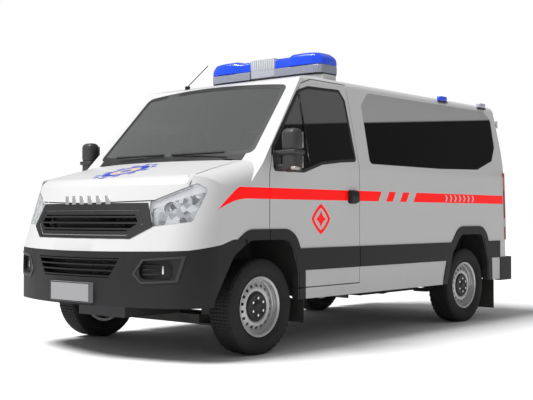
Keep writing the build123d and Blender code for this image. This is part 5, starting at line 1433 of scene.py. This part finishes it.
@dataclass
class GlassBorder:
    """Dark border on the outside of one pane.

    Attributes:
        node: The pane's CAD node.
        body: The body that carries it.
        outward: Direction that the pane faces.
        width: Width of the border.
        lift: How far the border stands off the pane.
        thickness: Its thickness.
    """

    node: str
    body: str
    outward: tuple[float, float, float]
    width: float
    lift: float = 0.0012
    thickness: float = 0.0008

    def build(self) -> None:
        """Cuts the border out of a copy of the pane's outer face."""
        mesh = copy_node(self.node)
        bmesh.ops.recalc_face_normals(mesh, faces=mesh.faces)
        aim = Vector(self.outward).normalized()
        keep_faces(mesh, facing(mesh, aim, 0.5))
        bmesh.ops.dissolve_limit(mesh, angle_limit=math.radians(1.5), verts=mesh.verts, edges=mesh.edges)
        made = bmesh.ops.inset_region(mesh, faces=list(mesh.faces), thickness=self.width, depth=0.0,
                                      use_even_offset=True, use_boundary=True)
        keep_faces(mesh, made["faces"])
        bmesh.ops.translate(mesh, vec=aim * self.lift, verts=mesh.verts)
        thicken(mesh, self.thickness)
        add_piece(f"{self.node}_border", mesh, "glass_border", "window_glass", self.body)


@dataclass
class FrontLamps:
    """Headlamps with clear lenses over bright housings, and fog lamps in finned recesses.

    Attributes:
        depth: How far the housing lies behind the lens.
        lens: Thickness of the lens and the housing.
        wall: Thickness of the walls.
        fog_depth: Depth of the fog lamps' recess.
        dishes: Place and radius of each dish on the left, x, y, z and radius.
        fog_at: Place of the left fog lamp.
        fins: Heights of the fins beside it.
        head_z: Headlamps reach above this height, and fog lamps don't.
        front_least: Cosine to the lamp's direction that its front faces have at least.
        wall_most: Cosine that its walls have at most.
    """

    depth: float = 0.042
    lens: float = 0.003
    wall: float = 0.002
    fog_depth: float = 0.030
    dishes: tuple[tuple[float, ...], ...] = ((2.155, 0.742, 1.055, 0.056), (2.075, 0.835, 1.105, 0.050))
    fog_at: tuple[float, float, float] = (2.277, 0.720, 0.640)
    fins: tuple[float, ...] = (-0.033, 0.0, 0.033)
    head_z: float = 0.9
    front_least: float = 0.25
    wall_most: float = 0.3

    def part_of(self, target: Mesh, side: Side, head: bool, aim: Vector, depth: float,
                walls: bool = False) -> None:
        """Adds faces of one CAD lamp to a mesh.

        Args:
            target: Where the faces go.
            side: The lamp's side.
            head: Whether it is the headlamp.
            aim: Direction that the lamp faces.
            depth: How far the faces are moved back.
            walls: Whether they are the lamp's walls, rather than its front.
        """
        mesh = copy_node("front_lamps")
        bmesh.ops.recalc_face_normals(mesh, faces=mesh.faces)
        inside = set()
        for group in islands(mesh):
            low, high = span(group)
            if low.y * side.value > 0 and (high.z > self.head_z) == head:
                inside |= group
        faces = facing(mesh, aim, -self.wall_most if walls else self.front_least)
        keep_faces(mesh, [face for face in faces if face.verts[0] in inside
                          and not (walls and face.normal.dot(aim) >= self.wall_most)])
        bmesh.ops.translate(mesh, vec=aim * -depth, verts=mesh.verts)
        data = bpy.data.meshes.new("part")
        mesh.to_mesh(data)
        mesh.free()
        target.from_mesh(data)
        bpy.data.meshes.remove(data)

    def dish(self, mesh: Mesh, turn: Matrix, size: float) -> None:
        """Adds a reflector dish with a raised ring.

        Args:
            mesh: Where the dish goes.
            turn: Its place. It opens along the matrix's z.
            size: Its radius.
        """
        before = set(mesh.faces)
        points = [(size * share, 0, rise) for share, rise in ((0.30, -0.022), (0.62, -0.014), (0.86, 0.002),
                                                              (0.94, 0.010), (1.0, 0.010), (1.0, -0.004))]
        faces = spin_chain(mesh, points, Vector(), Vector((0, 0, 1)), 40)
        bmesh.ops.recalc_face_normals(mesh, faces=faces)
        thicken(mesh, self.wall, faces)
        made = {vert for face in mesh.faces if face not in before for vert in face.verts}
        bmesh.ops.transform(mesh, matrix=turn, verts=list(made))

    def fog_lamp(self, fins: Mesh, fog: Mesh, side: Side, aim: Vector) -> None:
        """Adds the fins and the square fog lamp in front of the recess's back.

        Args:
            fins: Where the fins go.
            fog: Where the lamp's glass goes.
            side: Side of the vehicle.
            aim: Direction that the lamp faces.
        """
        x, y, z = self.fog_at
        turn = frame_at(Vector((x, side.value * y, z)), aim)
        out = -side.value
        for rise in self.fins:
            low, high = (out * -0.020, rise - 0.006, -0.030), (out * 0.105, rise + 0.006, -0.006)
            box_mesh(fins, low, high, 0.004, 2, turn)
        box_mesh(fins, (out * -0.104, -0.040, -0.030), (out * -0.030, 0.040, -0.012), 0.006, 2, turn)
        box_mesh(fog, (out * -0.100, -0.033, -0.020), (out * -0.034, 0.033, -0.007), 0.009, 3, turn)

    def build(self) -> None:
        """Builds both sides' lamps in place of the CAD ones."""
        housing, lens, rim, bowls, balls, fins, fog = new_meshes(7)
        for side in Side:
            aim, fog_aim = (Vector((ahead, side.value, 0)).normalized() for ahead in (1, 2))
            self.part_of(housing, side, True, aim, self.depth)
            self.part_of(lens, side, True, aim, 0.0)
            self.part_of(rim, side, True, aim, 0.006, walls=True)
            self.part_of(fins, side, False, fog_aim, self.fog_depth)
            for x, y, z, size in self.dishes:
                turn = frame_at(Vector((x, side.value * y, z)) - aim * 0.018, aim)
                self.dish(bowls, turn, size)
                ball = bmesh.ops.create_uvsphere(balls, u_segments=24, v_segments=14, radius=size * 0.52)
                turn = turn @ Matrix.Translation((0, 0, -0.012))
                bmesh.ops.transform(balls, matrix=turn, verts=ball["verts"])
            if side is Side.RIGHT:
                # Both recesses are in by now, and are thickened along with the left fins.
                thicken(fins, self.wall)
            self.fog_lamp(fins, fog, side, fog_aim)
        thicken(rim, self.wall)
        thicken(housing, self.lens)
        thicken(lens, self.lens)
        main = add_piece("headlamp_housings", housing, "lamp_reflector", "lamp_clear")
        for name, mesh, material in (("lenses", lens, "clear_lens"), ("walls", rim, "bright_metal"),
                                     ("dishes", bowls, "bright_metal"), ("projectors", balls, "clear_lens")):
            add_piece(f"headlamp_{name}", mesh, material, "lamp_clear")
        add_piece("fog_lamp_fins", fins, "bumper_plastic", "bumper_plastic")
        add_piece("fog_lamp_glasses", fog, "bright_metal", "lamp_clear")
        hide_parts("front_lamps")


@dataclass
class Bonnet:
    """Bonnet with its front fold rolled over.

    Attributes:
        roll: Width of the rolled fold on each side.
        steps: Steps across it.
        least: Cosine to upwards and forwards that its two faces have at least.
        shortest: Length of an edge that is left alone.
    """

    roll: float = 0.062
    steps: int = 8
    least: float = 0.7
    shortest: float = 0.001

    def build(self) -> None:
        """Rolls the fold between the bonnet's top and its nose."""
        mesh = copy_node("bonnet")
        bmesh.ops.dissolve_limit(mesh, angle_limit=math.radians(0.3), verts=mesh.verts, edges=mesh.edges)
        mesh.normal_update()
        fold = []
        for edge in mesh.edges:
            if len(edge.link_faces) == 2 and edge.is_convex:
                flat, steep = sorted(edge.link_faces, key=lambda face: -face.normal.z)
                facing_out = min(flat.normal.z, steep.normal.x) > self.least
                if facing_out and edge.calc_length() > self.shortest:
                    fold.append(edge)
        bmesh.ops.bevel(mesh, geom=fold, offset=self.roll, segments=self.steps, profile=0.5, affect="EDGES",
                        material=-1, clamp_overlap=False)
        piece = add_piece("bonnet_panel", mesh, "body_paint", "body_paint", "bonnet", 28)
        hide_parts("bonnet")


@dataclass
class FrontTrim:
    """Grille mesh, bright bars on the bonnet's lip, the plate's frame, and frames on the nose.

    Attributes:
        pitch: Spacing of the mesh.
        wire: Thickness of a mesh wire.
        bars: Bright bars on the bonnet's lip.
        bar_from: Where the bars start across the vehicle.
        bar_to: Where they end.
        bar_z: Their height.
        bar_slant: How much they slant.
        rail: Width of the plate's frame.
        nose_x: How far forward the nose reaches.
        nose_radius: Radius of the nose seen from above.
        lean_from: Height above which the nose leans back.
        lean: How much it leans back for each metre of height.
        cuts: Cuts across a band's faces.
        depth: Thickness of a band.
    """

    pitch: float = 0.026
    wire: float = 0.004
    bars: int = 6
    bar_from: float = -0.235
    bar_to: float = 0.225
    bar_z: float = 1.125
    bar_slant: float = 0.45
    rail: float = 0.009
    nose_x: float = 2.4275
    nose_radius: float = 2.05
    lean_from: float = 0.765
    lean: float = 0.3531
    cuts: int = 5
    depth: float = 0.007

    def band(self, mesh: Mesh, outer: Profile, inner: Profile, skin: Skin | None = None,
             lift: float = 0.004) -> None:
        """Lays a band between two outlines, given as (y, z) corners, on the curved nose.

        Args:
            mesh: Where the band goes.
            outer: Corners of the outer outline.
            inner: Corners of the inner outline, as many.
            skin: The nodes that it lies on, or none for the plain curve of the nose.
            lift: How far it stands off them.
        """
        before = set(mesh.verts)
        pairs = list(zip(*([mesh.verts.new((0.0, y, z)) for y, z in outline] for outline in (outer, inner))))
        faces = [mesh.faces.new((first[0], second[0], second[1], first[1]))
                 for first, second in zip(pairs, pairs[1:] + pairs[:1])]
        edges = list({edge for face in faces for edge in face.edges})
        bmesh.ops.subdivide_edges(mesh, edges=edges, cuts=self.cuts, use_grid_fill=True)
        made = [vert for vert in mesh.verts if vert not in before]
        for vert in made:
            _, y, z = vert.co
            hit = skin.hit((FAR, y, z), BACKWARDS) if skin else None
            fall = self.nose_radius - math.sqrt(self.nose_radius ** 2 - y ** 2)
            plain = self.nose_x - self.lean * max(0.0, z - self.lean_from) - fall
            vert.co.x = (hit[0].x if hit and hit[0].x > plain - 0.06 else plain) + lift
        faces = list({face for vert in made for face in vert.link_faces})
        back = bmesh.ops.extrude_face_region(mesh, geom=faces, use_keep_orig=True)["geom"]
        bmesh.ops.translate(mesh, vec=BACKWARDS * self.depth, verts=verts_in(back))

    def surrounds(self) -> None:
        """Builds the dark band round the grille and the raised frames round the fog lamps."""
        grille, frames, beds = new_meshes(3)
        halves = ([(0.580, 1.102), (0.656, 0.934), (0.508, 0.852)],
                  [(0.521, 1.049), (0.580, 0.952), (0.473, 0.874)])
        self.band(grille, *(half + [(-y, z) for y, z in half[::-1]] for half in halves))
        add_piece("grille_surround", grille, "bumper_plastic", "bumper_plastic")
        bumper = Skin("front_bumper")
        for side in Side:
            outer, middle, inner = ([(side.value * y, z) for y, z in ring] for ring in (
                ((0.556, 0.612), (0.632, 0.716), (0.912, 0.738), (0.872, 0.560), (0.622, 0.544)),
                ((0.576, 0.614), (0.642, 0.702), (0.892, 0.722), (0.856, 0.574), (0.630, 0.558)),
                ((0.608, 0.640), (0.616, 0.704), (0.831, 0.704), (0.831, 0.570), (0.616, 0.570))))
            self.band(frames, outer, middle, bumper, 0.005)
            self.band(beds, middle, inner, bumper, 0.0015)
        add_piece("fog_lamp_frames", frames, "mirror_plastic", "bumper_plastic")
        add_piece("fog_lamp_beds", beds, "black_metal", "bumper_plastic")

    def mesh_panel(self, mesh: Mesh, half: float, low: float, high: float, front: float,
                   radius: float = 1.45) -> None:
        """Adds a crossed mesh of slanted wires along the nose's curve.

        Args:
            mesh: Where the wires go.
            half: Half of the panel's width.
            low: Its lower edge.
            high: Its upper edge.
            front: Its foremost place.
            radius: Radius of its curve seen from above.
        """
        for index in range(round(2 * half / self.pitch) + 1):
            y = -half + self.pitch * index
            for lean in ((high - low) * 0.32, (low - high) * 0.32):
                ends = []
                for place, height in ((y - lean, low), (y + lean, high)):
                    place = max(-half, min(half, place))
                    ends.append(Vector((front - place * place / (2 * radius), place, height)))
                rod(mesh, *ends, self.wire / 2, sides=6)

    def build(self) -> None:
        """Builds the trim."""
        mesh, badge, plate = new_meshes(3)
        self.mesh_panel(mesh, 0.470, 0.560, 0.738, 2.375)
        self.mesh_panel(mesh, 0.500, 0.884, 1.040, 2.300)
        add_piece("grille_mesh", mesh, "black_metal", "bumper_plastic")
        nose = Skin("bonnet")
        step = (self.bar_to - self.bar_from) / (self.bars - 1)
        for index in range(self.bars):
            hit = nose.hit((FAR, self.bar_from + step * index, self.bar_z), BACKWARDS)
            if hit:
                verts = box_mesh(badge, (-0.024, -0.034, -0.002), (0.024, 0.034, 0.0045), 0.0025, 2)
                for vert in verts:
                    vert.co.x -= vert.co.y * self.bar_slant
                bmesh.ops.transform(badge, matrix=frame_at(*hit), verts=verts)
        add_piece("bonnet_bars", badge, "bright_metal", "bumper_plastic", "bonnet")
        low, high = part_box("number_plates")
        for y_low, z_low, y_high, z_high in (
                (low.y, low.z, high.y, low.z + self.rail), (low.y, high.z - self.rail, high.y, high.z),
                (low.y, low.z, low.y + self.rail, high.z), (high.y - self.rail, low.z, high.y, high.z)):
            box_mesh(plate, (high.x - 0.006, y_low, z_low), (high.x, y_high, z_high), 0.0015, 2)
        add_piece("plate_frame", plate, "black_metal", "bumper_plastic")
        self.surrounds()


@dataclass
class LightBar:
    """Roof light bar: blue domes over clear lower lenses, a ribbed white middle and a dark tray.

    Attributes:
        split: Half width of the middle.
        seam: Height of the line between dome and lower lens.
        tray: Height where the lower lens starts.
        short: How much shorter than its solid the bar is at each end.
        ribs: Ribs on the middle.
        sides: Corners of a lens's section.
        straps: Places of the dark straps on each side.
    """

    split: float = 0.142
    seam: float = 2.300
    tray: float = 2.226
    short: float = 0.028
    ribs: int = 11
    sides: int = 32
    straps: tuple[float, ...] = (0.26, 0.34, 0.47, 0.56)

    def drawn(self, mesh: Mesh, foot: float, top: float, square: float, stations: list[tuple[float, ...]],
              sign: int = 1) -> None:
        """Draws a rounded section out along y in steps and closes its ends.

        Args:
            mesh: Where the faces go.
            foot: Height of the section's flat foot.
            top: Height of its top at full size.
            square: How square its corners are, from 1, round, towards 0, square.
            stations: Place along y, and shares of the depth and the height there.
            sign: Side that the places are on.
        """
        low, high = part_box("lightbar_base")
        middle, half = (low.x + high.x) / 2, (high.x - low.x) / 2
        old = set(mesh.verts)
        verts = bmesh.ops.create_circle(mesh, cap_ends=False, segments=self.sides, radius=1.0)["verts"]
        for vert in verts:
            across, up = vert.co.x, max(0.0, vert.co.y)
            vert.co = (math.copysign(abs(across) ** square, across), 0.0, up ** square)
        edges = edges_of(verts)
        at = Matrix.Identity(4)
        for place, depth, height in stations:
            if place != stations[0][0]:
                made = bmesh.ops.extrude_edge_only(mesh, edges=edges)["geom"]
                verts = verts_in(made)
                edges = [item for item in made if isinstance(item, bmesh.types.BMEdge)
                         and set(item.verts) <= set(verts)]
            now = Matrix.Translation((middle, sign * place, foot)) @ Matrix.Diagonal(
                (half * depth, 1.0, (top - foot) * height, 1.0))
            bmesh.ops.transform(mesh, matrix=now @ at.inverted(), verts=verts)
            at = now
        open_edges = [edge for edge in mesh.edges if edge.is_boundary and edge.verts[0] not in old]
        bmesh.ops.holes_fill(mesh, edges=open_edges, sides=0)

    def build(self) -> None:
        """Builds the bar in place of the CAD one."""
        low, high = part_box("lightbar_base")
        domes, lower, middle, dark, plinth, ribs = new_meshes(6)
        end = high.y - self.short
        start = self.split + 0.002
        dome = [(start, 0.90, 0.84), (0.290, 0.90, 0.84), (0.315, 0.97, 0.96), (0.340, 1.0, 1.0),
                (0.46, 1.0, 1.0), (0.52, 0.97, 0.98), (0.575, 0.91, 0.93), (end - 0.050, 0.85, 0.85),
                (end - 0.025, 0.79, 0.72), (end - 0.010, 0.73, 0.57), (end - 0.001, 0.67, 0.40)]
        skirt = [(start, 0.96, 1.0), (0.46, 0.98, 1.0), (0.53, 0.95, 1.0), (0.59, 0.88, 1.0),
                 (end - 0.025, 0.80, 1.0), (end - 0.006, 0.72, 1.0), (end - 0.001, 0.68, 0.9)]
        for side in Side:
            self.drawn(domes, self.seam + 0.001, high.z, 0.42, dome, side.value)
            self.drawn(lower, self.tray, self.seam - 0.001, 0.12, skirt, side.value)
            for y in self.straps:
                box_mesh(dark, (low.x + 0.03, side.value * y - 0.005, self.tray - 0.01),
                         (high.x - 0.03, side.value * y + 0.005, self.seam), 0.002, 2)
        base = [(end - 0.004, 0.66), (end - 0.06, 0.82), (0.50, 0.96)]
        base = [(-y, depth) for y, depth in base] + base[::-1]
        self.drawn(dark, self.tray - 0.012, self.tray, 0.12, [(y, depth, 1.0) for y, depth in base])
        self.drawn(plinth, low.z, self.tray - 0.011, 0.12, [(y, 0.93 * depth, 1.0) for y, depth in base])
        box_mesh(middle, (low.x + 0.012, -self.split, self.tray),
                 (high.x - 0.012, self.split, high.z - 0.022), 0.012, 4)
        step = 2 * self.split / self.ribs
        for index in range(self.ribs):
            y = -self.split + step * (index + 0.5)
            box_mesh(ribs, (low.x + 0.007, y - step * 0.24, self.seam),
                     (high.x - 0.007, y + step * 0.24, high.z - 0.017), 0.003, 2)
        tray = add_piece("lightbar_tray", dark, "black_metal", "lightbar_housing")
        for name, mesh, material in (
                ("plinth", plinth, "body_paint"), ("middle", middle, "lightbar_grey"),
                ("ribs", ribs, "lightbar_white"), ("lower_lenses", lower, "lightbar_lens")):
            add_piece(f"lightbar_{name}", mesh, material, "lightbar_housing")
        dome = add_piece("lightbar_domes", domes, "blue_lens", "beacon_blue")
        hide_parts("lightbar_base")
        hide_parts("lightbar_lenses")


@dataclass
class Beacons:
    """Side beacons: blue ones ahead, clear ones behind, each on a dark foot.

    Attributes:
        foot: Height of the foot.
        blue_from: Beacons ahead of this place are blue.
    """

    foot: float = 0.016
    blue_from: float = -1.6

    def build(self) -> None:
        """Rounds the beacons in place of the CAD ones."""
        plain, (blue, clear, feet) = copy_node("side_beacons"), new_meshes(3)
        for group in islands(plain):
            low, high = span(group)
            box_mesh(feet, low, (high.x, high.y, low.z + self.foot), 0.004, 2)
            inset = Vector((0.003, 0.002, 0.0))
            box_mesh(blue if high.x > self.blue_from else clear, low + inset + Vector((0, 0, 0.015)),
                     high - inset, 0.012, 4)
        plain.free()
        piece = add_piece("side_beacons_blue", blue, "blue_lens", "beacon_blue")
        add_piece("side_beacons_clear", clear, "lightbar_grey", "beacon_blue")
        add_piece("side_beacons_feet", feet, "black_metal", "beacon_blue")
        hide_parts("side_beacons")


@dataclass
class WindowDivider:
    """Upright divider on one cab door's glass.

    Attributes:
        side: Side of the vehicle.
        x: Its place along the vehicle.
        heights: Heights that it passes through.
        radius: Its radius.
    """

    side: Side
    x: float = 0.9345
    heights: tuple[float, ...] = (1.42, 1.60, 1.78, 1.96)
    radius: float = 0.007

    def build(self) -> None:
        """Lays the divider on the glass."""
        pane, mesh = Skin(f"cab_door_glass_{self.side.word}"), bmesh.new()
        out = Vector((0, self.side.value, 0))
        hits = [pane.hit((self.x, FAR * self.side.value, z), -out) for z in self.heights]
        for first, second in zip(hits, hits[1:]):
            if first and second:
                rod(mesh, first[0] + out * 0.002, second[0] + out * 0.002, self.radius, sides=8)
        add_piece(f"cab_window_divider_{self.side.word}", mesh, "glass_border", "window_glass",
                  f"cab_door_{self.side.word}")


@dataclass
class RearTrim:
    """Handle and lock on the rear doors, beside their joint.

    Attributes:
        offset: How far from the joint they are.
        handle_z: Height of the handle.
        lock_z: Height of the lock.
    """

    offset: float = 0.085
    handle_z: float = 1.02
    lock_z: float = 0.955

    def build(self) -> None:
        """Builds the handle in its bezel, and the lock."""
        doors, (mesh, bright) = Skin("rear_door_left", "rear_door_right"), new_meshes(2)
        handle, lock = (frame_at(*doors.hit((-FAR, -self.offset, z), FORWARDS))
                        for z in (self.handle_z, self.lock_z))
        box_mesh(mesh, (-0.065, -0.026, -0.002), (0.065, 0.026, 0.004), 0.003, 3, handle)
        box_mesh(mesh, (-0.055, -0.004, 0.003), (0.055, 0.018, 0.019), 0.006, 4, handle)
        for target, start, end, radius in ((mesh, -0.002, 0.004, 0.014), (bright, 0.003, 0.0055, 0.009)):
            rod(target, lock @ Vector((0, 0, start)), lock @ Vector((0, 0, end)), radius, radius - 0.001, 24)
        add_piece("rear_door_handle", mesh, "mirror_plastic", "bumper_plastic", "rear_door_right")
        add_piece("rear_door_lock", bright, "bright_metal", "wheel_steel", "rear_door_right")


PARTS = (
    Studio(),
    CarriedNodes(),
    *(Wheel(side, front) for side in Side for front in (True, False)),
    *(Mirror(side) for side in Side),
    SoftSeats(),
    FrontLamps(),
    Bonnet(),
    FrontTrim(),
    LightBar(),
    Beacons(),
    *(WindowDivider(side) for side in Side),
    RearTrim(),
    GlassBorder("windscreen", "vehicle_body", (1.0, 0.0, 1.0), 0.045),
    *(GlassBorder(f"cab_door_glass_{side.word}", f"cab_door_{side.word}", (0.0, side.value, 0.0), 0.024)
      for side in Side),
)


def main() -> None:
    """Dresses the frame."""
    logging.basicConfig(level=logging.INFO, format="%(message)s")
    for part in PARTS:
        LOG.info("%s", type(part).__name__)
        part.build()
    sizes = {"cad": [list(corner) for corner in CAD_BOX], "scene": [list(corner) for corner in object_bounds()]}


if __name__ == "__main__":
    main()
